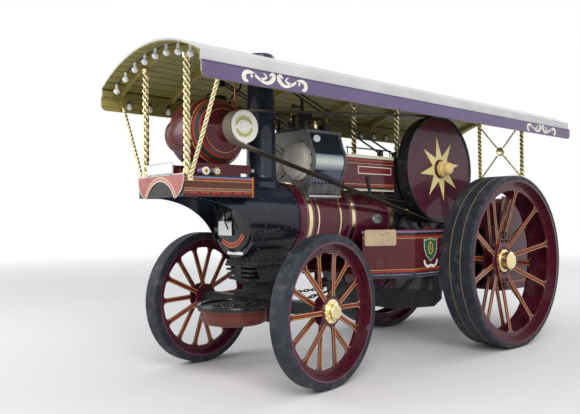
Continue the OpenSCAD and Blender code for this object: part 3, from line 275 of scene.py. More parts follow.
SIDES = {1: "left", -1: "right"}
m_wheels = {(end, side): wheel_material("wheel_paint_%s_%s" % (end, SIDES[side]), end == "front", side)
            for end in ("front", "hind") for side in SIDES}


def fly_lines(g, base):
    """A thin ring near the rim, a dark tread and a brass hub."""
    r = g.radius(g.y, g.z, CRANK_Y, CRANK_Z)
    base = stripes(g, base, r, g.more(g.x, 0.57), [(0.604, 0.608, (0.22, 0.03, 0.03))])
    return g.mix(g.more(r, 0.618), g.mix(g.less(r, 0.098), base, (0.75, 0.56, 0.22)), DARK)


m_fly = paint("flywheel_paint", (0.062, 0.0055, 0.018), lines=fly_lines)


def dyn_lines(g, base):
    """Rings on the end face and lines round the drum."""
    r = g.radius(g.y, g.z, DYN_Y, DYN_Z)
    face = g.more(g.x, 0.152)
    rings = [(0.315, 0.322, GOLD), (0.296, 0.306, RED), (0.272, 0.296, GREEN), (0.260, 0.272, RED), (0.21, 0.215, GOLD)]
    base = stripes(g, base, r, face, rings)
    drum = g.more(r, 0.33)
    return stripes(g, base, g.x, drum, [(0.085, 0.092, GOLD), (0.068, 0.078, RED), (-0.178, -0.168, RED),
                                        (-0.216, -0.178, (0.006, 0.018, 0.016))])


m_dynamo = paint("dynamo_paint", (0.105, 0.010, 0.018), lines=dyn_lines)


def pulley_lines(g, base):
    """A grey ring on the face, and a tread browned by the belt."""
    r = g.radius(g.y, g.z, DYN_Y, DYN_Z)
    tread = g.mul(g.more(r, 0.149), g.less(g.x, 0.592))
    base = stripes(g, base, r, g.more(g.x, 0.56), [(0.1, 0.104, (0.35, 0.33, 0.30))])
    return g.mix(tread, base, (0.21, 0.16, 0.11))


m_pulley = paint("pulley_paint", (0.76, 0.74, 0.68), rough=0.4, coat=0.3, vary=0.06, lines=pulley_lines)
m_belt = paint("belting", (0.040, 0.034, 0.024), rough=0.6, coat=0, vary=0.25, dust=0.15, grain=300.0, bump=0.001,
               lines=lambda g, c: g.mix(g.ramp(g.radius(g.y, g.z, DYN_Y, DYN_Z), 0.17, 0.32, 1, 0), c,
                                        (0.19, 0.16, 0.12)))


def boiler_lines(g, base):
    """Navy, red and lilac lines on both sides of each wide band."""
    on = g.less(g.y, FIREBOX_FRONT)
    table = []
    for y, w in BANDS:
        for s in (-1, 1) if w > 0.03 else ():
            for off, half, c in ((0.005, 0.005, NAVY), (0.0145, 0.0025, RED), (0.024, 0.003, LILAC)):
                at = y + s * (w / 2 + off)
                table.append((at - half, at + half, c))
    return stripes(g, base, g.y, on, table)


m_boiler = paint("boiler_paint", MAROON, rough=0.25, coat=1.0, lines=boiler_lines)


def motion_lines(g, base):
    """Lining along the motion covers' upper and lower edges, and at their front."""
    top, low = MOTION_TOP, MOTION_LOW
    base = stripes(g, base, g.y, g.band(g.z, low + 0.07, top - 0.1), [(-1.028, -1.022, GOLD), (-1.014, -1.004, RED)])
    return stripes(g, base, g.z, None, [
        (top - 0.036, top + 0.01, CREAM), (top - 0.052, top - 0.036, NAVY), (top - 0.068, top - 0.054, RED),
        (top - 0.102, top - 0.096, GOLD),
        (low + 0.074, low + 0.080, GOLD), (low + 0.048, low + 0.062, RED), (low + 0.032, low + 0.048, NAVY),
        (low - 0.01, low + 0.030, CREAM)])


m_motion = paint("motion_cover_paint", MAROON, rough=0.25, coat=1.0, lines=motion_lines)


def tank_lines(g, base):
    """Lining and mouldings along the belly tank's sides."""
    side = g.more(g.abs(g.x), 0.499)
    base = stripes(g, base, g.y, g.mul(side, g.band(g.z, 1.02, 1.40)), [(0.335, 0.343, RED), (0.318, 0.323, GOLD)])
    return stripes(g, base, g.z, side, [
        (1.447, 1.470, LILAC), (1.418, 1.446, DARK), (1.400, 1.410, RED), (1.382, 1.388, GOLD),
        (1.030, 1.036, GOLD), (1.008, 1.018, RED), (0.960, 0.992, NAVY), (0.935, 0.957, DARK)])


m_tank = paint("tank_paint", (0.080, 0.008, 0.012), lines=tank_lines)


def tender_lines(g, base):
    """A lined panel on each side of the tender, and lines round its back."""
    up = g.band(g.z, 0.70, 1.83)
    base = stripes(g, base, g.y, g.mul(up, g.more(g.abs(g.x), 0.655)),
                   [(1.86, 1.866, GOLD), (1.842, 1.852, RED), (2.915, 2.921, GOLD), (2.93, 2.94, RED)])
    body = g.more(g.y, 1.84)
    return stripes(g, base, g.z, body, [(1.83, 1.836, GOLD), (1.846, 1.856, RED), (1.872, 1.9, LILAC),
                                        (0.71, 0.716, GOLD), (0.69, 0.70, RED)])


m_tender = paint("tender_paint", MAROON, lines=tender_lines)


def apron_lines(g, base):
    """Lining along the platform's sides round a red-brown field; painted shadow, near black, on the front behind the
    crest plate's arch.
    """
    # Painted shadow: the platform's front behind the arch is made near black.
    base = g.mix(g.less(g.y, -3.02), base, (0.003, 0.003, 0.003))
    side = g.more(g.abs(g.x), 0.4295)
    base = g.mix(g.mul(side, g.mul(g.band(g.z, 1.902, 1.966), g.less(g.y, -2.30))), base, (0.085, 0.022, 0.014))
    base = stripes(g, base, g.z, side, [
        (2.009, 2.03, DARK), (1.997, 2.006, (0.10, 0.30, 0.55)), (1.983, 1.992, (0.55, 0.06, 0.015)),
        (1.966, 1.971, GOLD), (1.897, 1.902, GOLD), (1.884, 1.889, LILAC), (1.875, 1.880, GOLD), (1.856, 1.868, RED)])
    return stripes(g, base, g.y, side, [(-2.29, -2.284, GOLD), (-2.279, -2.269, RED)])


m_apron = paint("apron_paint", (0.07, 0.008, 0.012), lines=apron_lines)


def block_material():
    """Grey casting, the front flange's face paler grey and darker towards its foot, with polished cladding on its sides
    whose colour is a painted reflection: grey-violet below, a pale band at the bulge, blue above.
    """
    g = Graph("cylinder_casting")
    side = g.mul(g.band(g.y, CYL_FRONT + 0.031, CYL_REAR - 0.031),
                 g.mul(g.more(g.abs(g.x), 0.335), g.band(g.z, 1.985, 2.534)))
    cast = g.blend(g.noise(14.0, 6.0), 0.35, 0.7, (0.06, 0.063, 0.066), (0.17, 0.17, 0.165))
    front = g.mul(g.less(g.y, CYL_FRONT + 0.001), g.ramp(g.z, 1.98, 2.12, 0, 1))
    cast = g.mix(front, cast, g.mix(g.noise(9.0), (0.15, 0.15, 0.145), (0.30, 0.29, 0.275)))
    # A pale greenish band across the cladding's bulge: a painted reflection.
    painted_reflection_band = g.mul(g.ramp(g.z, 2.13, 2.20, 0, 1), g.ramp(g.z, 2.24, 2.31, 1, 0))
    # The cladding's grey-violet below and blue above: a painted reflection.
    clad = g.blend(g.z, 2.12, 2.20, (0.13, 0.13, 0.20), (0.11, 0.15, 0.24))
    color = g.mix(side, cast, g.mix(painted_reflection_band, clad, (0.50, 0.55, 0.50)))
    rough = g.add(g.mul(side, -0.34), g.ramp(g.noise(22.0, 4.0), 0.3, 0.7, 0.44, 0.54))
    g.bump(g.noise(120.0, 3.0), 0.2, 0.0008)
    g.set("Metallic", g.mul(side, 0.85))
    g.set("Base Color", color)
    g.set("Roughness", rough)
    return g.mat


m_block = block_material()


def glass():
    """Pale bulb glass, lit enough to read against the dark roof."""
    g = Graph("bulb_glass")
    g.set("Transmission Weight", 0.15)
    g.bump(g.noise(20.0), 0.05, 0.0004)
    return g.finish(g.mix(g.noise(4.0), (0.90, 0.93, 0.95), (0.96, 0.97, 0.98)), 0.12, 0, 0.4)


m_bulb = glass()

by_node = {
    "boiler": m_boiler, "boiler_bands": m_brass, "smokebox": m_smoke, "chimney": m_black, "cylinder_block": m_block,
    "cylinder_covers": m_cover, "motion_covers": m_motion, "motion_rods": m_steel, "hornplates": m_black,
    "belly_tank": m_tank, "tender": m_tender, "footplate_fittings": m_brass, "platform": m_apron,
    "front_plates": m_plate, "dynamo_frame": m_dynamo, "canopy_roof": m_roof, "canopy_boards": m_purple,
    "canopy_ribs": m_rib, "columns": m_brass, "bulbs": m_bulb, "drive_belt": m_belt, "smokebox_door": m_black,
    "crankshaft": m_steel, "flywheel": m_fly, "dynamo_pulley": m_pulley, "fore_tray": m_rust,
}
for end, side in m_wheels:
    by_node["%s_tyre_%s" % (end, SIDES[side])] = m_tyre
    by_node["%s_wheel_%s" % (end, SIDES[side])] = m_wheels[end, side]
for name, ob in nodes.items():
    ob.data.materials.clear()
    ob.data.materials.append(by_node.get(name, m_iron))

# ---------------------------------------------------------------- small pieces, one mesh for each body and material
groups = {}
UP, AHEAD, BACK, LEFT = (0, 0, 1), (0, -1, 0), (0, 1, 0), (1, 0, 0)


def put(key, verts, faces, m=None):
    """Adds faces, placed by m, to the mesh of key: a name and a material, led by the body where it isn't root."""
    v0, f0 = groups.setdefault(key if len(key) == 3 else ("root", *key), ([], []))
    n = len(v0)
    v0 += [m @ Vector(v) if m else Vector(v) for v in verts]
    flip = m is not None and m.determinant() < 0
    f0 += [tuple(n + i for i in (reversed(f) if flip else f)) for f in faces]


def prism(key, outline, axis, lo, hi, m=None):
    """An outline in the plane across axis (0, 1 or 2), from lo to hi."""
    n = len(outline)
    def at(p, h): return [(h, p[0], p[1]), (p[0], h, p[1]), (p[0], p[1], h)][axis]
    area = sum(outline[i - 1][0] * outline[i][1] - outline[i][0] * outline[i - 1][1] for i in range(n))
    if (area < 0) != (axis == 1):
        outline = outline[::-1]
    faces = [tuple(range(n))[::-1], tuple(range(n, 2 * n))]
    faces += [(i, (i + 1) % n, n + (i + 1) % n, n + i) for i in range(n)]
    put(key, [at(p, lo) for p in outline] + [at(p, hi) for p in outline], faces, m)


def box(key, lo, hi, m=None):
    prism(key, [(lo[0], lo[1]), (hi[0], lo[1]), (hi[0], hi[1]), (lo[0], hi[1])], 2, lo[2], hi[2], m)


def side_plate(key, outline, s, lo, hi):
    """A plate on the side s (1 left, -1 right), between two distances from the engine's middle."""
    prism(key, outline, 0, *sorted((s * lo, s * hi)))


def frame_on(d):
    """A rotation whose Z runs along d."""
    return Vector(d).to_track_quat("Z", "Y").to_matrix().to_4x4()


def ring_faces(n, k, closed=True):
    """Faces that join k rings of n points in turn; closed adds both ends."""
    faces = [(j * n + i, j * n + (i + 1) % n, (j + 1) * n + (i + 1) % n, (j + 1) * n + i)
             for j in range(k - 1) for i in range(n)]
    if closed:
        faces += [tuple(range(n))[::-1], tuple(range((k - 1) * n, k * n))]
    return faces


def lathe(key, at, d, profile, n=16, m=None):
    """A profile of (along, radius) turned about the axis d through at."""
    t = Matrix.Translation(at) @ frame_on(d)
    ring = [(cos(2 * pi * i / n), sin(2 * pi * i / n)) for i in range(n)]
    verts = [(r * c, r * s, a) for a, r in profile for c, s in ring]
    put(key, verts, ring_faces(n, len(profile)), (m @ t) if m else t)


def rod(key, a, b, r, n=8, m=None):
    a, b = Vector(a), Vector(b)
    lathe(key, a, b - a, [(0, r), ((b - a).length, r)], n, m)


def pipe(key, points, r, n=8, m=None):
    for a, b in zip(points, points[1:]):
        rod(key, a, b, r, n, m)
    for p in points[1:-1]:
        ball(key, p, r, m)


def ball(key, c, r, m=None):
    profile = [(-r * 0.98, r * 0.2), (-r * 0.7, r * 0.7), (0, r), (r * 0.7, r * 0.7), (r * 0.98, r * 0.2)]
    lathe(key, c, UP, profile, 8, m)


def rivet(key, c, d, r=0.008, m=None):
    """A round head standing on a surface whose normal is d."""
    lathe(key, c, d, [(-0.002, r), (r * 0.45, r * 0.85), (r * 0.75, r * 0.3)], 6, m)


def shell_rivet(key, s, turn, y, r=0.0135):
    """A rivet on the smokebox's round shell, at that angle above the side s."""
    c, u = s * cos(radians(turn)), sin(radians(turn))
    rivet(key, (SHELL_R * c, y, BOILER_Z + SHELL_R * u), (c, 0, u), r)


def nut(key, c, d, r=0.012, h=0.012, m=None):
    lathe(key, c, d, [(-0.002, r), (h, r)], 6, m)


def ribbon(key, points, width, axis, at, m=None):
    """A flat line of that width (a number or one for each point) in the plane across axis, at that place."""
    n = len(points)
    w = width if isinstance(width, (list, tuple)) else [width] * n
    one, two = [], []
    for i, p in enumerate(points):
        a, b = points[max(i - 1, 0)], points[min(i + 1, n - 1)]
        dx, dy = b[0] - a[0], b[1] - a[1]
        k = hypot(dx, dy) or 1
        nx, ny = -dy / k * w[i] / 2, dx / k * w[i] / 2
        one.append((p[0] + nx, p[1] + ny))
        two.append((p[0] - nx, p[1] - ny))
    def put3(p): return [(at, p[0], p[1]), (p[0], at, p[1]), (p[0], p[1], at)][axis]
    put(key, [put3(p) for p in one + two], [(i, i + 1, n + i + 1, n + i) for i in range(n - 1)], m)


def arc(cx, cy, r, a0, a1, n=24):
    """Points of an arc from a0 to a1 in degrees; r is a radius or the two of an ellipse."""
    rx, ry = r if isinstance(r, tuple) else (r, r)
    turn = [radians(a0 + (a1 - a0) * i / n) for i in range(n + 1)]
    return [(cx + rx * cos(a), cy + ry * sin(a)) for a in turn]


def circle(n, cx, cy, r, first=0):
    """n points round a circle, the first at that angle in degrees."""
    return arc(cx, cy, r, first, first + 360, n)[:-1]


def turn_x(deg): return Matrix.Rotation(radians(deg), 4, "X")


# -- wheels: lining on the spokes, rivets on the rims, bolts on the hubs
FRONT_AT = Matrix.Translation((0, FRONT_Y, 0)) @ Matrix.Rotation(STEER, 4, "Z")
AS_IS, MIRROR = Matrix(), Matrix.Diagonal((-1, 1, 1, 1))


def line_spoke(body, m, foot_r, hub_r, foot_x, hub_x, w, t):
    """A red and two gold lines on both faces of a flat spoke, of width w and thickness t."""
    length = foot_r - hub_r
    tilt = atan2(foot_x - hub_x, length)
    ln = length / cos(tilt)
    m = m @ Matrix.Translation((hub_x, 0, hub_r)) @ Matrix.Rotation(tilt, 4, "Y")
    for s in (-1, 1):
        at = s * (t / 2 + 0.0006)
        ribbon((body, "spoke_red", m_red), [(0, 0.03), (0, ln - 0.035)], w * 0.12, 0, at, m)
        for e in (-1, 1):
            edge = [(e * (w / 2 - 0.008), 0.015), (e * (w / 2 - 0.008), ln - 0.046),
                    (e * (w * 0.62 - 0.008), ln - 0.022), (e * (w * 1.1 - 0.010), ln + 0.004)]
            ribbon((body, "spoke_gold", m_gold), edge, 0.0068, 0, at, m)


def rim_rivets(body, m, x, gap, radius, step, places):
    """Rivets where a spoke's foot meets the rim, on both faces of its plate."""
    for j in places:
        for face in (-1, 1):
            at = (x + face * gap, radius * sin(j * step), radius * cos(j * step))
            rivet((body, "rim_rivets", m_maroon), at, (face, 0, 0), 0.010, m)


for side, name in SIDES.items():
    flip = AS_IS if side > 0 else MIRROR
    body = "front_" + name
    m = FRONT_AT @ Matrix.Translation((side * FRONT_X, 0, FRONT_Z)) @ flip
    for row in (0, 1):
        for i in range(7):
            turn = turn_x(38.57 + (i + row / 2) * 360 / 7)
            line_spoke(body, m @ turn, 0.559, 0.12, 0, 0.052 if row == 0 else -0.054, 0.052, 0.013)
            rim_rivets(body, m @ turn, 0, 0.009, 0.6, 0.055, (-1, 0, 1))
    for face in (-1, 1):
        ribbon((body, "rim_line", m_lilac), arc(0, 0, 0.6535, 0, 360, 72), 0.004, 0, face * 0.0882, m)
    for y, z in circle(10, 0, 0, 0.100):
        nut((body, "hub_nuts", m_brass), (0.067, y, z), LEFT, 0.009, 0.010, m)

    body = "hind_" + name
    m = Matrix.Translation((side * HIND_X, HIND_Y, HIND_Z)) @ flip
    ring_x = 0.1255
    for row in (0, 1):
        for i in range(10):
            turn = turn_x(30.2 + (i + row / 2) * 36)
            fx, hx = (ring_x, -0.026) if row == 0 else (-ring_x, -0.158)
            line_spoke(body, m @ turn, 0.88, 0.21, fx, hx, 0.060, 0.015)
            rim_rivets(body, m @ turn, fx, 0.008, 0.935, 0.032, (-1.5, -0.5, 0.5, 1.5))
    plate = [(-0.172, 0.052), (-0.054, 0.334), (0.054, 0.334), (0.172, 0.052)]
    plate += [(-y, -z) for y, z in plate] + plate[:1]
    ribbon((body, "plate_orange", m_orange), [(y * 0.94, z * 0.975) for y, z in plate], 0.014, 0, 0.0066, m)
    ribbon((body, "plate_black", m_black), [(y * 0.83, z * 0.93) for y, z in plate], 0.009, 0, 0.0068, m)
    for k in (-1, 1):
        box((body, "plate_lugs", m_black), (0.006, -0.045, k * 0.30 - 0.022), (0.034, 0.045, k * 0.30 + 0.022), m)
        for y, z in ((-0.05, 0.245), (0.05, 0.245), (-0.026, 0.345), (0.026, 0.345)):
            nut((body, "plate_bolts", m_black), (0.006, y, k * z), LEFT, 0.017, 0.03, m)
    for y, z in circle(10, 0, 0, 0.158, 18):
        nut((body, "hub_nuts", m_iron), (0.006, y, z), LEFT, 0.013, 0.014, m)

# -- smokebox: rivets, door trim
rk = ("smokebox_rivets", m_rivet)
for y in (-2.09, -1.655):
    for i in range(44):
        turn = i * 360 / 44
        if y < -2 or abs(turn - 90) > 24:  # the rear row leaves out the chimney's foot
            shell_rivet(rk, 1, turn, y)
for s in (-1, 1):
    for k in range(6):
        shell_rivet(rk, s, -14, -2.09 + k * 0.087)
    for k in range(7):
        shell_rivet(rk, s, 58, -2.9 + k * 0.1, 0.012)
for x, y in circle(20, 0, CHIMNEY_Y, 0.188):
    rivet(("chimney_rivets", m_black), (x, y, 2.0125), UP, 0.011)
door = ("door", "door_plate", lining("door_plate_red", (0.30, 0.020, 0.014)))
sector = arc(0, BOILER_Z, 0.284, -127, -33, 20) + arc(0, BOILER_Z, 0.236, -33, -127, 20)
prism(door, sector, 1, -2.2425, -2.2300)
door_gold = ("door", "door_gold", m_gold)
ribbon(door_gold, arc(0, BOILER_Z, 0.281, -126, -34, 20), 0.005, 1, -2.2430)
ribbon(door_gold, arc(0, BOILER_Z, 0.239, -34, -126, 20), 0.005, 1, -2.2430)
ribbon(door_gold, arc(0, BOILER_Z, 0.315, 100, 170, 20), 0.006, 1, -2.2180)
ribbon(("door", "door_red", m_red), arc(0, BOILER_Z, 0.306, 100, 170, 20), 0.006, 1, -2.2180)
for x, z in circle(24, 0, BOILER_Z, 0.352, 7):
    nut(("smokebox_nuts", m_black), (x, SMOKE_FRONT, z), AHEAD, 0.009, 0.010)
box(("foot_plate_front", m_white), (-0.11, -2.212, 1.256), (0.15, -2.1975, 1.286))
box(("door", "door_tag", m_white), (-0.180, -2.270, 1.452), (0.050, -2.266, 1.597))
for x in (-0.105, 0.0):
    rod(("door", "door_tag_string", m_white), (x, -2.268, 1.59), (-0.035, -2.300, 1.668), 0.004, 5)

# -- platform: bolts, roundels and slide rails; dynamo: nuts, terminals, exciter's end, leads and crescents
for y in (-2.99, -2.88, -2.76, -2.64, -2.52, -2.40, -2.30):
    for s in (-1, 1):
        rivet(("apron_bolts", m_iron), (s * 0.430, y, 1.862), (s, 0, 0), 0.010)
for y, ring, mid in ((-2.792, m_white, m_gold), (-2.672, m_purple, m_white)):
    for s in (-1, 1):
        for part, mat, x, profile, n in (
                ("roundel", m_lilac, 0.30, [(0, 0.034), (0.095, 0.034)], 20),
                ("roundel_rim", ring, 0.393, [(0, 0.038), (0.012, 0.038), (0.015, 0.030)], 20),
                ("roundel_mid", mid, 0.406, [(-0.004, 0.022), (0.003, 0.022)], 16),
                ("roundel_dot", m_green, 0.409, [(-0.004, 0.009), (0.002, 0.009)], 10)):
            lathe((part, mat), (s * x, y, 2.062), (s, 0, 0), profile, n)
for s in (-1, 1):
    rod(("rail_screws", m_steel), (s * 0.20, -2.12, 2.105), (s * 0.20, -2.20, 2.105), 0.016, 12)
    ball(("rail_knobs", m_steel), (s * 0.20, -2.11, 2.105), 0.026)
for y, z in circle(8, DYN_Y, DYN_Z, 0.333, 20):
    nut(("dynamo_nuts", m_iron), (0.152, y, z), LEFT, 0.013, 0.012)
box(("dynamo_terminals", m_black), (-0.12, -2.42, 2.80), (0.06, -2.33, 2.86))
for part, mat, x, profile in (
        ("exciter_hood", m_rust, -0.43, [(0, 0.195), (0.02, 0.20), (0.14, 0.185)]),
        ("exciter_ring", m_gold, -0.568, [(-0.002, 0.186), (0.004, 0.187), (0.010, 0.184)]),
        ("exciter_face", m_black, -0.575, [(0, 0.178), (0.012, 0.165), (0.03, 0.05)])):
    lathe((part, mat), (x, DYN_Y, DYN_Z + 0.03), (-1, 0, 0), profile, 28)
pipe(("dynamo_leads", m_black), [(-0.03, -2.33, 2.83), (-0.03, -2.22, 2.85), (-0.02, -2.10, 2.98),
                                 (-0.02, -2.05, 3.20)], 0.011)
pipe(("copper_pipe", m_copper), [(0.06, -2.222, 2.62), (0.06, -2.222, 3.05), (0.05, -2.23, 3.19)], 0.010)
pk = ("dynamo", "pulley_crescents", paint("crescent_paint", (0.36, 0.36, 0.09), rough=0.4))
for a0 in (20, 200):
    outer = arc(DYN_Y, DYN_Z, 0.096, a0, a0 + 150, 16)
    c = radians(a0 + 75)
    inner = arc(DYN_Y - 0.02 * cos(c), DYN_Z - 0.02 * sin(c), 0.083, a0 + 142, a0 + 8, 16)
    prism(pk, outer + inner, 0, 0.5815, 0.5835)

# -- flywheel star
star = []
for i in range(16):
    a, r = radians(90 + 10 + i * 22.5), 0.40 if i % 2 == 0 else 0.155
    star.append((CRANK_Y + r * cos(a), CRANK_Z + r * sin(a)))
prism(("crank", "flywheel_star", m_star), star, 0, 0.5855, 0.5880)
lathe(("crank", "flywheel_hole", m_black), (0.586, CRANK_Y + 0.10, CRANK_Z + 0.575), LEFT,
      [(-0.004, 0.016), (0.0008, 0.016)], 14)
for y, z in circle(8, CRANK_Y, CRANK_Z, 0.086):
    nut(("crank", "flywheel_nuts", m_brass), (0.610, y, z), LEFT, 0.009, 0.009)

# -- side boards: cream scrolls, the lettering left blank
# Each stroke: its points as shares of the motif's length and height, and its width at each as a share of the length
STROKES = [
    ([(0.19, 0.10), (0.11, 0.135), (0.06, 0.31), (0.075, 0.55), (0.16, 0.70), (0.27, 0.69), (0.38, 0.56), (0.49, 0.38),
      (0.60, 0.24), (0.73, 0.17), (0.85, 0.29), (0.93, 0.53), (0.94, 0.74), (0.87, 0.80), (0.80, 0.62)],
     [0.03, 0.09, 0.12, 0.11, 0.09, 0.075, 0.065, 0.065, 0.065, 0.075, 0.10, 0.12, 0.11, 0.07, 0.01]),
    ([(0.38, 0.58), (0.29, 0.53), (0.27, 0.43), (0.32, 0.32)], [0.05, 0.055, 0.04, 0.005]),
    ([(0.54, 0.36), (0.65, 0.42), (0.72, 0.54), (0.68, 0.70), (0.61, 0.80)], [0.05, 0.06, 0.05, 0.035, 0.005]),
]


def scroll(x, y0, y1, z, high):
    """One painted motif from y0 to y1 (turned round where y1 is the less), its foot at z."""
    for pts, wid in STROKES:
        fine, fw = [], []
        for i in range(len(pts) - 1):
            p = [Vector(pts[max(0, min(len(pts) - 1, i + k))]) for k in (-1, 0, 1, 2)]
            for q in range(5):
                t = q / 5
                c = 0.5 * ((2 * p[1]) + (p[2] - p[0]) * t + (2 * p[0] - 5 * p[1] + 4 * p[2] - p[3]) * t * t
                           + (3 * p[1] - p[0] - 3 * p[2] + p[3]) * t ** 3)
                fine.append((y0 + (y1 - y0) * c.x, z + high * c.y))
                fw.append((wid[i] * (1 - t) + wid[i + 1] * t) * abs(y1 - y0))
        ribbon(("board_scrolls", m_cream), fine, fw, 0, x)


for s in (-1, 1):
    for y0, y1 in ((-2.805, -2.440), (-2.062, -2.425), (1.93, 2.33), (2.76, 2.345)):
        scroll(s * 0.9806, y0, y1, BOARD_Z + 0.012, 0.132)

# -- motion cover's plate, boiler's plate, block's plate, tank's shield and mat
SHIELD_Y, SHIELD_Z = 0.04, 1.25
# The slanted front of the tank: its direction and its normal; the two rows of beads: height, key and radius
ALONG, OUT = Vector((0.28, 0.55, 0)).normalized(), Vector((0.55, -0.28, 0)).normalized()
BEAD_Z, BEAD_R = (1.431, 0.976), (0.006, 0.0045)
BEADS = ("tank_beads", m_iron), ("tank_dots", m_white)
shield = [(-0.085, 1.372), (-0.045, 1.362), (0.04, 1.376), (0.125, 1.362), (0.165, 1.372), (0.160, 1.25), (0.13, 1.18),
          (0.04, 1.105), (-0.05, 1.18), (-0.08, 1.25)]
small = [(SHIELD_Y + (y - SHIELD_Y) * 0.93, SHIELD_Z + (z - SHIELD_Z) * 0.94) for y, z in shield]
scroll_line = [(-0.085, 1.125), (-0.062, 1.072), (-0.02, 1.050), (0.04, 1.062), (0.10, 1.050), (0.142, 1.072),
               (0.165, 1.125)]
for s in (-1, 1):
    for part, mat, edge, deep in (("name_plate_rim", m_cream, 0, 0.411), ("name_plate_red", m_plate_red, 0.01, 0.412)):
        y0, y1, z0, z1 = -0.79 + edge, -0.22 - edge, 2.118 + edge, 2.206 - edge
        side_plate((part, mat), [(y0, z0), (y1, z0), (y1, z1), (y0, z1)], s, deep, deep + 0.0055)
    side_plate(("boiler_plate", m_steel), circle(30, -0.458, 1.608, (0.088, 0.054)), s, 0.392, 0.404)
    side_plate(("boiler_plate_mid", m_steel), circle(30, -0.458, 1.608, (0.074, 0.042)), s, 0.395, 0.4055)
    side_plate(("block_plate", m_steel), circle(24, -1.39, 2.47, (0.05, 0.038)), s, 0.370, 0.3835)
    side_plate(("shield_gold", m_cream), shield, s, 0.779, 0.7810)
    side_plate(("shield_green", m_shield), small, s, 0.780, 0.7816)
    ribbon(("shield_ring", m_gold), arc(SHIELD_Y, 1.262, (0.040, 0.066), 0, 360, 30), 0.017, 0, s * 0.7820)
    ribbon(("shield_ring", m_gold), [(SHIELD_Y, 1.232), (SHIELD_Y, 1.292)], 0.012, 0, s * 0.7820)
    for k in range(16):
        t = k / 16 * len(small)
        p, q = small[int(t)], small[(int(t) + 1) % len(small)]
        y, z = p[0] + (q[0] - p[0]) * (t % 1), p[1] + (q[1] - p[1]) * (t % 1)
        at = (s * 0.7810, SHIELD_Y + (y - SHIELD_Y) * 0.84, SHIELD_Z + (z - SHIELD_Z) * 0.86)
        lathe(("shield_dots", m_gold), at, (s, 0, 0), [(0, 0.006), (0.0012, 0.005)], 6)
    ribbon(("shield_ribbon", m_white), scroll_line, 0.030, 0, s * 0.7812)
    # Beads and rivets along the tank's mouldings
    for k in range(44):
        at = (s * (TANK_X + 0.0075), -0.24 + k * 0.0142, BEAD_Z[1] - 0.03)
        rivet(("tank_rivets", m_steel), at, (s, 0, 0), 0.0045)
    for k in range(30):
        for z, key, r in zip(BEAD_Z, BEADS, BEAD_R):
            rivet(key, (s * TANK_X, -0.235 + k * 0.0205, z), (s, 0, 0), r)
    for k in range(28):
        p = Vector((0.50, -0.817, 0)) + ALONG * (0.02 + k * 0.0205)
        for z, key, r in zip(BEAD_Z, BEADS, BEAD_R):
            rivet(key, (s * p.x, p.y, z), (s * OUT.x, OUT.y, 0), r)
mat_at = Matrix.Translation((0.594, -0.632, 1.395)) @ Matrix((ALONG, UP, OUT)).transposed().to_4x4()
corners = [p for x, z, a in ((1, 1, 0), (-1, 1, 90), (-1, -1, 180), (1, -1, 270))
           for p in arc(0.165 * x, 0.068 * z, 0.022, a, a + 90, 3)]
prism(("tank_mat", m_mat), corners, 2, 0.0075, 0.0125, mat_at)

# -- on and around the cylinders: nuts, cocks and pipes
ck = ("block_nuts", m_iron)
for k in range(9):
    for s in (-1, 1):
        nut(ck, (s * 0.355, CYL_FRONT + 0.02 + k * 0.0515, 2.564), UP, 0.011, 0.012)
for k in range(13):
    nut(ck, (-0.33 + k * 0.055, CYL_FRONT - 0.002, 2.564), UP, 0.010, 0.012)
for s in (-1, 1):
    for x, z in circle(12, s * CYL_X, CYL_Z, 0.212, 15):
        nut(ck, (x, CYL_FRONT, z), AHEAD, 0.010, 0.010)
    lathe(("cover_slot", m_iron), (s * CYL_X, CYL_FRONT - 0.089, CYL_Z - 0.06), AHEAD,
          [(-0.004, 0.02), (0.003, 0.018)], 10)
    pipe(("steam_pipes", m_iron), [(s * 0.18, -1.30, 2.628), (s * 0.18, -1.30, 2.70), (s * 0.27, -1.22, 2.72),
                                   (s * 0.27, -1.12, 2.60), (s * 0.27, -1.10, 2.566)], 0.016)
    pipe(("oil_pipes", m_copper), [(s * 0.33, -1.44, 2.56), (s * 0.36, -1.46, 2.60), (s * 0.36, -1.40, 2.66),
                                   (s * 0.15, -1.36, 2.70)], 0.006, 6)
    box(("oil_boxes", m_iron), (s * 0.30 - 0.045, -1.24, 2.562), (s * 0.30 + 0.045, -1.14, 2.64))
    lathe(("oil_cups", m_brass), (s * 0.30, -1.34, 2.562), UP,
          [(0, 0.014), (0.02, 0.026), (0.07, 0.026), (0.085, 0.01), (0.10, 0.012)], 14)
    for z in (1.95, 2.03):
        rod(("injector_pipes", m_iron), (s * 0.425, -0.98, z - 0.06), (s * 0.425, -0.2, z - 0.075), 0.011, 8)
for x, y in ((-0.02, -1.26), (0.11, -1.18), (-0.1, -1.16), (0.2, -1.42), (-0.22, -1.42)):
    lathe(("block_cocks", m_iron), (x, y, 2.60), UP,
          [(0, 0.03), (0.05, 0.03), (0.055, 0.018), (0.11, 0.018), (0.115, 0.028), (0.14, 0.028)], 10)
    rod(("block_cocks", m_iron), (x - 0.05, y, 2.72), (x + 0.05, y, 2.72), 0.008, 6)
lathe(("whistle", m_brass), (-0.12, -1.30, 2.628), UP,
      [(0, 0.012), (0.10, 0.012), (0.105, 0.028), (0.12, 0.028), (0.125, 0.022), (0.20, 0.022), (0.215, 0.006)], 14)

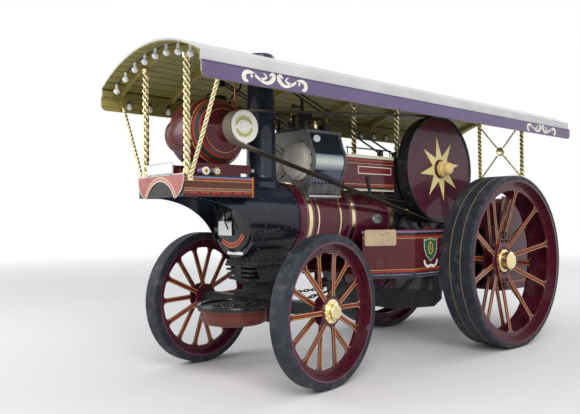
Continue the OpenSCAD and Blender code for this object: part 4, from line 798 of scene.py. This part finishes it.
# -- perch and hornplates: bolts and fittings
bk = ("perch_bolts", m_iron)
for s in (-1, 1):
    for y in (-2.04, -1.96, -1.88, -1.80, -1.72):
        for z in (1.36, 1.21):
            nut(bk, (s * 0.240, y, z), (s, 0, 0), 0.013, 0.012)
        nut(bk, (s * 0.255, y, 1.15), (0, 0, -1), 0.012, 0.02)
for x in (-0.2, -0.1, 0, 0.1, 0.2):
    for z in (1.36, 1.21):
        nut(bk, (x, -2.087, z), AHEAD, 0.013, 0.012)
hk = ("hornplate_rivets", m_black)
for s in (-1, 1):
    for k in range(13):
        rivet(hk, (s * PLATE_X, -0.135, 0.86 + k * 0.085), (s, 0, 0), 0.010)
    for k in range(9):
        rivet(hk, (s * PLATE_X, -0.05 + k * 0.1, 0.84), (s, 0, 0), 0.010)
    for k in range(5):
        rivet(hk, (s * PLATE_X, 0.02 + k * 0.16, 2.33), (s, 0, 0), 0.010)
    pipe(("feed_pipes", m_iron), [(s * 0.44, -0.10, 1.50), (s * 0.44, -0.02, 1.62), (s * 0.43, 0.16, 1.66),
                                  (s * 0.43, 0.30, 1.60), (s * 0.43, 0.34, 1.50)], 0.018)
    lathe(("clack_box", m_brass), (s * 0.413, 0.02, 1.70), (s, 0, 0),
          [(0, 0.035), (0.05, 0.035), (0.055, 0.02), (0.08, 0.02)], 12)
    box(("pump_box", m_iron), (s * 0.475 - 0.06, 0.10, 1.72), (s * 0.475 + 0.06, 0.28, 1.86))
    rod(("pump_rod", m_steel), (s * 0.475, 0.19, 1.86), (s * 0.475, 0.30, 1.98), 0.012, 8)

# -- tender: rivets, rear lamps and coal
tk = ("tender_rivets", m_maroon)
for s in (-1, 1):
    for k in range(18):
        rivet(tk, (s * TENDER_X, 1.90 + k * 0.055, 0.66), (s, 0, 0), 0.008)
for x in (-0.45, -0.3, -0.15, 0, 0.15, 0.3, 0.45):
    for z in (0.75, 1.80):
        rivet(tk, (x, TENDER_BACK, z), BACK, 0.008)
for s in (-1, 1):
    lathe(("rear_lamps", m_brass), (s * 0.52, TENDER_BACK, 1.62), BACK, [(0, 0.05), (0.07, 0.055), (0.075, 0.048)], 18)
    lathe(("rear_lamp_glass", m_red), (s * 0.52, 3.06, 1.62), BACK, [(0, 0.042), (0.02, 0.040)], 18)
prism(("coal", paint("coal", (0.01, 0.01, 0.011), rough=0.5, coat=0.2, grain=14.0, bump=0.05)),
      [(-0.63, 1.72), (-0.3, 1.80), (0.05, 1.83), (0.35, 1.79), (0.63, 1.73), (0.63, 1.60), (-0.63, 1.60)],
      1, 2.235, 2.885)

# -- forms that take the place of plain solids: each name here, and the node that it replaces
STAND_IN = {"chimney_form": "chimney", "band_form": "boiler_bands", "block_form": "cylinder_block",
            "cover_form": "cylinder_covers", "column_form": "columns"}
for name in ("crest_plate", "crest_border", "number_plate", "number_plate_border", "number_plate_arms"):
    STAND_IN[name] = "front_plates"


def loft(key, rings, closed=True, m=None):
    """Rings of points of one length, joined in turn; closed adds both ends."""
    put(key, [p for r in rings for p in r], ring_faces(len(rings[0]), len(rings), closed), m)


STRAND = 0.46  # radius of a strand as a share of the rope's


def rope(key, a, b, r, pitch):
    """Three strands twisted about the line from a to b, round a dark olive core that is painted shade in the grooves;
    pitch is one turn's length.
    """
    a, b = Vector(a), Vector(b)
    rod(("column_core", m_groove_shade), a, b, r * 0.64, 12)
    t = Matrix.Translation(a) @ frame_on(b - a)
    length = (b - a).length
    steps = max(2, ceil(length / 0.010))
    reach = []
    for i in range(18):
        phi = radians(i * 20 % 120 - 60)
        side = min(STRAND, (1 - STRAND) * abs(sin(phi)))
        reach.append(r * ((1 - STRAND) * cos(phi) + sqrt(STRAND ** 2 - side ** 2)))
    rings = []
    for k in range(steps + 1):
        z = length * k / steps
        turn = 2 * pi * z / pitch
        angles = [turn + radians(20 * i) for i in range(len(reach))]
        rings.append([t @ Vector((q * cos(a), q * sin(a), z)) for q, a in zip(reach, angles)])
    loft(key, rings)


# Height of the roof's arch at x, that far below its outer face
def roof_under(x, drop): return RIDGE_Z - ROOF_R + sqrt((ROOF_R - drop) ** 2 - x * x)


FLARE_R = 0.205  # foot of the chimney, which sits on the shell
round_ = circle(72, 0, 0, 1)
foot = [(FLARE_R * x, CHIMNEY_Y + FLARE_R * y, BOILER_Z + sqrt(0.383 ** 2 - (FLARE_R * x) ** 2)) for x, y in round_]
profile = [(2.001, FLARE_R), (2.013, 0.186), (2.045, 0.167), (2.075, 0.161), (2.46, 0.1528), (2.463, 0.158),
           (2.493, 0.158), (2.496, 0.1522), (3.277, 0.136), (3.292, 0.151), (3.336, 0.151), (3.352, 0.139),
           (3.352, 0.126), (3.05, 0.124)]
rings = [foot] + [[(r * x, CHIMNEY_Y + r * y, z) for x, y in round_] for z, r in profile]
loft(("chimney_form", m_smoke), rings, False)
soot = [[(0.125 * x, CHIMNEY_Y + 0.125 * y, z) for x, y in round_] for z in (3.04, 3.06)]
loft(("chimney_soot", m_iron), soot)
for y, w in BANDS:
    lathe(("band_form", m_brass), (0, y - w / 2, BOILER_Z), BACK,
          [(0, 0.397), (0, 0.4025), (w, 0.4025), (w, 0.397)], 96)


def block_outline(more):
    """Two cylinders under one chest, seen from the front, clockwise from the top right."""
    half = [(0.345 + more, CYL_TOP)] + arc(CYL_X, CYL_Z, 0.235 + more, 36.4, -31.6, 17) + [(0.33, 1.83)]
    return half + [(-x, z) for x, z in half[::-1]]


bk = ("block_form", m_block)
prism(bk, block_outline(0), 1, CYL_FRONT + 0.01, CYL_REAR - 0.01)
for y in (CYL_FRONT, CYL_REAR - 0.03):
    prism(bk, block_outline(0.013), 1, y, y + 0.03)
box(bk, (-0.372, CYL_FRONT - 0.012, CYL_TOP - 0.004), (0.372, CYL_REAR, CYL_TOP + 0.024))
lid = [(CYL_FRONT + 0.05, 2.56), (CYL_FRONT + 0.075, 2.628), (CYL_REAR - 0.075, 2.628), (CYL_REAR - 0.05, 2.56)]
prism(bk, lid, 0, -0.25, 0.25)
lathe(bk, (-0.15, -1.27, 2.62), UP, [(0, 0.055), (0.06, 0.055)], 24)
for s in (-1, 1):
    box(bk, (s * 0.30 - 0.045, CYL_FRONT - 0.01, 1.92), (s * 0.30 + 0.045, CYL_FRONT + 0.29, 1.98))
    lathe(("cover_form", m_cover), (s * CYL_X, CYL_FRONT, CYL_Z), AHEAD,
          [(0, 0.205), (0.014, 0.205), (0.018, 0.180), (0.074, 0.174), (0.086, 0.155), (0.090, 0.02)], 48)
    box(("saddle_strip", m_steel), (s * 0.349 - 0.019, CYL_FRONT + 0.004, 1.848),
        (s * 0.349 + 0.019, CYL_REAR - 0.004, 1.866))
    for k in range(9):
        nut(("saddle_nuts", m_iron), (s * 0.353, CYL_FRONT + 0.035 + k * 0.053, 1.866), UP, 0.011, 0.013)
        nut(("cladding_nuts", m_iron), (s * 0.380, CYL_FRONT + 0.035 + k * 0.053, 1.995), (s * 0.94, 0, -0.3),
            0.010, 0.010)

ck = ("column_form", m_twist)
RIB_DROP = 0.0883  # from the roof's outer face to the ribs' undersides
# Where the three pairs stand: along Y, from the middle, height of the foot
for y, x, z in ((-2.984, 0.390, PLAT_Z), (-0.037, 0.357, MOTION_TOP + 0.010), (2.940, 0.362, 1.900)):
    tip = roof_under(x + COLUMN_R + 0.008, RIB_DROP) - 0.0003
    for s in (-1, 1):
        lathe(ck, (s * x, y, z + 0.0003), UP,
              [(0, 0.046), (0.012, 0.046), (0.018, 0.040), (0.034, 0.040), (0.040, 0.034)], 24)
        rope(ck, (s * x, y, z + 0.036), (s * x, y, tip - 0.036), COLUMN_R, -0.195)
        lathe(ck, (s * x, y, tip - 0.040), UP,
              [(0, 0.034), (0.006, 0.040), (0.026, 0.040), (0.030, 0.043), (0.040, 0.043)], 24)
# Braces: slanted at the front, crossed through a boss at the back
high_z = roof_under(0.362, RIB_DROP) - 0.070
boss_z = (2.230 + high_z) / 2
for s in (-1, 1):
    low, high = (s * 0.448, -2.984, 1.995), (s * 0.895, -2.984, 2.802)
    rope(ck, low, high, 0.020, 0.145)
    for (x, y, z), shift, half in ((low, -0.0087, (0.009, 0.025, 0.03)), (high, 0.0175, (0.042, 0.020, 0.012))):
        box(ck, (x + s * shift - half[0], y - half[1], z - half[2]),
            (x + s * shift + half[0], y + half[1], z + half[2]))
    for v in (-1, 1):
        rise = v * (high_z - boss_z)
        rope(ck, (s * 0.343, 2.940, boss_z + rise), (s * 0.05, 2.940, boss_z + rise * 0.146), 0.015, 0.11)
lathe(ck, (0, 2.925, boss_z), BACK, [(0, 0.062), (0.003, 0.068), (0.027, 0.068), (0.030, 0.062)], 32)

# -- stays from the roof down to the motion covers, and the rail above these
sk = ("roof_stays", m_black)
for s in (-1, 1):
    for y, dz in ((-0.36, -0.014), (-0.11, 0.014)):
        rod(sk, (s * 0.36, -2.10, 3.10 + dz), (s * 0.378, y, MOTION_TOP + 0.032), 0.011, 10)
        box(sk, (s * 0.374 - 0.026, y - 0.02, MOTION_TOP), (s * 0.374 + 0.026, y + 0.02, MOTION_TOP + 0.07))
    box(sk, (s * 0.36 - 0.02, -2.124, 3.054), (s * 0.36 + 0.02, -2.076, roof_under(0.38, 0.028)))
    for y in (-0.95, -0.447, -0.227):
        rod(sk, (s * 0.406, y, MOTION_TOP), (s * 0.406, y, MOTION_TOP + 0.072), 0.006, 8)
    rod(sk, (s * 0.406, -0.97, MOTION_TOP + 0.072), (s * 0.406, -0.207, MOTION_TOP + 0.072), 0.008, 8)

# -- brass cap on the flywheel's hub
lathe(("crank", "hub_cap", m_brass), (0.6102, CRANK_Y, CRANK_Z), LEFT,
      [(-0.002, 0.099), (0.005, 0.099), (0.009, 0.074), (0.040, 0.068), (0.048, 0.060), (0.0515, 0.03)], 32)

# -- lever on each motion cover with the rod that it pulls
arm = [(-0.654, 2.073), (-0.648, 2.091), (-0.630, 2.099), (-0.612, 2.091), (-0.606, 2.079), (-0.583, 1.872),
       (-0.588, 1.855), (-0.600, 1.850), (-0.612, 1.855), (-0.617, 1.868)]
for s in (-1, 1):
    side_plate(("lever", m_iron), arm, s, 0.4123, 0.426)
    rod(("pull_rod", m_iron), (s * 0.434, -0.600, 1.868), (s * 0.434, -0.009, 1.806), 0.010)
    for y, z, r in ((-0.600, 1.868, 0.015), (-0.009, 1.806, 0.017)):
        rod(("pull_rod", m_iron), (s * PLATE_X, y, z), (s * 0.446, y, z), r, 12)

# -- cross spring's leaves at the front of the perch
for i in range(4):
    box(("spring_leaves", m_iron), (-0.235 + 0.022 * i, -2.155, 1.128 - 0.046 * i),
        (0.235 - 0.022 * i, -2.085, 1.152 - 0.046 * i))
box(("spring_buckle", m_iron), (-0.06, -2.160, 0.985), (0.06, -2.082, 1.15))

# -- ring over the tray, its round rim, and the chain that lies in the tray
m = FRONT_AT @ Matrix.Translation((0, -0.36, TRAY_Z + 0.1533))
edge = [radians(5 * i) for i in range(72)]
outer = [(min(0.37, 0.24 / max(sin(a), 0.01)) if sin(a) > 0 else 0.37) for a in edge]
wide = [[(q * cos(a), q * sin(a), z) for q, a in zip(outer, edge)] for z in (0, 0.018)]
slim = [[(0.215 * cos(a), 0.215 * sin(a), z) for a in edge] for z in (0.018, 0)]
loft(("forecarriage", "tray_ring", m_iron), [wide[0], wide[1], slim[0], slim[1], wide[0]], False, m)
hoop = [Vector((0.352 * cos(radians(a)), 0.352 * sin(radians(a)), 0.030)) for a in range(140, 401, 5)]
pipe(("forecarriage", "tray_rim", m_black), hoop, 0.020, 10, m)
for i in range(150):
    a, q = i * 2.39996, 0.235 * sqrt((i + 0.5) / 150)
    c = Vector((q * cos(a), q * sin(a), -0.012 + 0.030 * sin(i * 1.7) + 0.02 * (1 - q / 0.235)))
    d = Vector((cos(i * 4.1), sin(i * 4.1), 0.5 * sin(i * 2.3))) * 0.026
    rod(("forecarriage", "tray_chain", m_iron), c - d, c + d, 0.012, 6, m)

# -- more bulbs along both side boards
for s in (-1, 1):
    for y in (-2.90, -2.66, -2.43, 0.74, 1.01, 1.28):
        rod(("side_sockets", m_black), (s * 0.93, y, 2.862), (s * 0.955, y, 2.87), 0.014, 8)
        rod(("side_sockets", m_black), (s * 0.93, y, 2.88), (s * 0.93, y, 2.855), 0.014, 8)
        lathe(("side_bulbs", m_bulb), (s * 0.93, y, 2.858), (0, 0, -1),
              [(0, 0.012), (0.012, 0.014), (0.03, 0.027), (0.045, 0.030), (0.06, 0.026), (0.072, 0.010)], 14)

# -- canopy: lamp leads under the front arch and board brackets
lead = [(x, -3.07, roof_under(x, 0.034)) for x in [-0.86 + 0.0819 * i for i in range(22)]]
pipe(("lamp_leads", m_black), lead, 0.006, 6)
for s in (-1, 1):
    for y in (-2.984, -2.387, -1.187, -0.037, 0.933, 1.933, 2.94):
        box(("board_brackets", m_rib), (s * 0.945 - 0.009, y - 0.02, 2.80), (s * 0.945 + 0.009, y + 0.02, 2.90))

# -- the crest plate with its pointed feet and round arch, and the blank number plate, in place of the plain ones
CREST_FRONT, CREST_BACK, CREST_X = -3.0453, -3.0373, 0.432
side = [(CREST_X, PLAT_Z + 0.012), (CREST_X, PLAT_Z - 0.05), (0.405, PLAT_Z - 0.12), (0.345, PLAT_Z - 0.175),
        (0.285, PLAT_Z - 0.205)]
other = [(-x, z) for x, z in side]
path = side[::-1] + other


def reach_out(turn):
    """Where the ray at that angle from the arch's centre first meets the plate's outer edge."""
    c, u = cos(radians(turn)), sin(radians(turn))
    hits = []
    for (px, pz), (qx, qz) in zip(path, path[1:]):
        ex, ez = qx - px, qz - pz
        den = c * ez - u * ex
        if abs(den) > 1e-9:
            t = (px * ez - (pz - CREST_Z) * ex) / den
            share = ((t * c - px) * ex + (t * u + CREST_Z - pz) * ez) / (ex * ex + ez * ez)
            if t > 0 and -1e-6 <= share <= 1 + 1e-6:
                hits.append(t)
    return min(hits) * c, CREST_Z + min(hits) * u


foot = degrees(asin((PLAT_Z - 0.205 - CREST_Z) / (CREST_R + 0.003)))
inner = arc(0, CREST_Z, CREST_R, foot, 180 - foot, 40)
n = len(inner)
outer = [reach_out(foot + (180 - 2 * foot) * k / (n - 1)) for k in range(n)]
verts = [(x, y, z) for y in (CREST_FRONT, CREST_BACK) for row in (inner, outer) for x, z in row]
faces = []
for i in range(n - 1):
    faces += [(i, n + i, n + i + 1, i + 1), (2 * n + i, 2 * n + i + 1, 3 * n + i + 1, 3 * n + i),
              (i, i + 1, 2 * n + i + 1, 2 * n + i), (n + i, 3 * n + i, 3 * n + i + 1, n + i + 1)]
faces += [(0, 2 * n, 3 * n, n), (n - 1, 2 * n - 1, 4 * n - 1, 3 * n - 1)]
put(("crest_plate", m_plate), verts, faces)
for line in (side, other, [(-0.43, PLAT_Z + 0.0075), (0.43, PLAT_Z + 0.0075)]):
    ribbon(("crest_border", m_cream), line, 0.009, 1, CREST_FRONT - 0.0006)
box(("number_plate", m_white), (-0.25, -3.0536, PLAT_Z + 0.014), (0.25, -3.0456, PLAT_Z + 0.122))
for x0, z0, x1, z1 in ((-0.246, 0.018, 0.246, 0.022), (-0.246, 0.114, 0.246, 0.118), (-0.246, 0.018, -0.242, 0.118),
                       (0.242, 0.018, 0.246, 0.118)):
    box(("number_plate_border", m_black), (x0, -3.0540, PLAT_Z + z0), (x1, -3.0534, PLAT_Z + z1))
for s in (-1, 1):
    box(("number_plate_arms", m_black), (s * 0.21 - 0.01, -3.046, PLAT_Z + 0.001),
        (s * 0.21 + 0.01, -3.02, PLAT_Z + 0.1))

# -- one object for each body, name and material, on its body
for (body, name, mat), (verts, faces) in groups.items():
    mesh = bpy.data.meshes.new(name)
    mesh.from_pydata(verts, [], faces)
    mesh.materials.append(mat)
    mesh.polygons.foreach_set("use_smooth", [True] * len(mesh.polygons))
    mesh.set_sharp_from_angle(angle=radians(35))
    ob = bpy.data.objects.new("trim_%s_%s_%s" % (body, name, mat.name.split("_")[0]), mesh)
    bpy.context.scene.collection.objects.link(ob)
    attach(ob, body)
    if name in STAND_IN:
        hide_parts(STAND_IN[name])

# ---------------------------------------------------------------- stage, light and camera
def stage_material(name, rgb):
    """Pale floor that fades to the white backdrop far from the engine, for camera rays and reflections alone."""
    g = Graph(name)
    path = g.node("LightPath").outputs
    seen = g.either(path["Is Camera Ray"], path["Is Glossy Ray"])
    far = g.mul(seen, g.ramp(g.radius(g.x, g.y, 0, 0), 7.0, 22.0, 0, 1))
    g.set("Emission Color", (1, 1, 1))
    g.set("Emission Strength", far)
    return g.finish(g.mix(far, g.mix(g.noise(0.7), shade(rgb, 0.985), rgb), (0, 0, 0)), 0.85, 0, 0)


bpy.ops.mesh.primitive_plane_add(size=120, location=(0, 0, 0))
floor = bpy.context.object
floor.name = "stage_floor"
floor.data.materials.append(stage_material("floor_pale", (0.80, 0.785, 0.76)))


def make_world():
    """Light that is paler from above; camera, glossy and transmission rays see plain white."""
    world = bpy.data.worlds.new("studio")
    bpy.context.scene.world = world
    world.use_nodes = True
    tree = world.node_tree
    tree.nodes.clear()
    out, mix, dim, bright, path, coord, split, ramp, half, seen, any_seen = (tree.nodes.new("ShaderNode" + k) for k in (
        "OutputWorld", "MixShader", "Background", "Background", "LightPath", "TexCoord", "SeparateXYZ", "ValToRGB",
        "MapRange", "Math", "Math"))
    elements = ramp.color_ramp.elements
    elements[0].color, elements[-1].color = (0.14, 0.15, 0.13, 1), (0.80, 0.84, 0.94, 1)
    elements.new(0.47).color = (0.18, 0.19, 0.18, 1)
    elements.new(0.53).color = (0.78, 0.79, 0.83, 1)
    half.inputs[1].default_value, half.inputs[2].default_value = -1, 1
    dim.inputs[1].default_value = 0.75
    bright.inputs[0].default_value, bright.inputs[1].default_value = (1, 1, 1, 1), 1.0
    seen.operation = any_seen.operation = "MAXIMUM"
    for a, b in ((coord.outputs["Generated"], split.inputs[0]), (split.outputs[2], half.inputs[0]),
                 (half.outputs[0], ramp.inputs[0]), (ramp.outputs[0], dim.inputs[0]),
                 (path.outputs["Is Camera Ray"], seen.inputs[0]), (path.outputs["Is Glossy Ray"], seen.inputs[1]),
                 (seen.outputs[0], any_seen.inputs[0]), (path.outputs["Is Transmission Ray"], any_seen.inputs[1]),
                 (any_seen.outputs[0], mix.inputs[0]), (dim.outputs[0], mix.inputs[1]),
                 (bright.outputs[0], mix.inputs[2]), (mix.outputs[0], out.inputs[0])):
        tree.links.new(a, b)


make_world()


def area(name, at, aim, size, power, color=(1, 1, 1)):
    """A square lamp at a place, turned to what it lights."""
    light = bpy.data.lights.new(name, "AREA")
    light.size, light.energy, light.color = size, power, color
    ob = bpy.data.objects.new(name, light)
    bpy.context.scene.collection.objects.link(ob)
    ob.location = at
    ob.rotation_euler = (Vector(aim) - Vector(at)).to_track_quat("-Z", "Y").to_euler()


area("key", (9, -7, 9), (0, 0, 1.5), 7, 900, (1, 0.98, 0.95))
area("fill", (-6, -9, 6), (0, -1, 1.5), 7, 420)
area("back", (2, 10, 8), (0, 1, 1.5), 7, 350)

# The photo's camera, solved from wheels, flywheel and canopy: focal length and width in pixels, turns in degrees
FOCAL, PHOTO_W, SENSOR = 600.69, 580, 36
CAMERA_AT = 5.0478, -5.7624, 1.6397
YAW, PITCH, ROLL = (radians(a) for a in (49.4708, 0.9113, -0.4123))
cam_data = bpy.data.cameras.new("camera")
cam_data.sensor_width, cam_data.lens = SENSOR, SENSOR * FOCAL / PHOTO_W
cam_data.clip_end = 200
cam = bpy.data.objects.new("camera", cam_data)
bpy.context.scene.collection.objects.link(cam)
look = Vector((-sin(YAW) * cos(PITCH), cos(YAW) * cos(PITCH), sin(PITCH)))
right = look.cross(Vector(UP)).normalized()
top = right.cross(look)
right, top = right * cos(ROLL) + top * sin(ROLL), top * cos(ROLL) - right * sin(ROLL)
cam.matrix_world = Matrix.Translation(CAMERA_AT) @ Matrix((right, top, -look)).transposed().to_4x4()
bpy.context.scene.camera = cam
bpy.context.scene.view_settings.view_transform = "Standard"
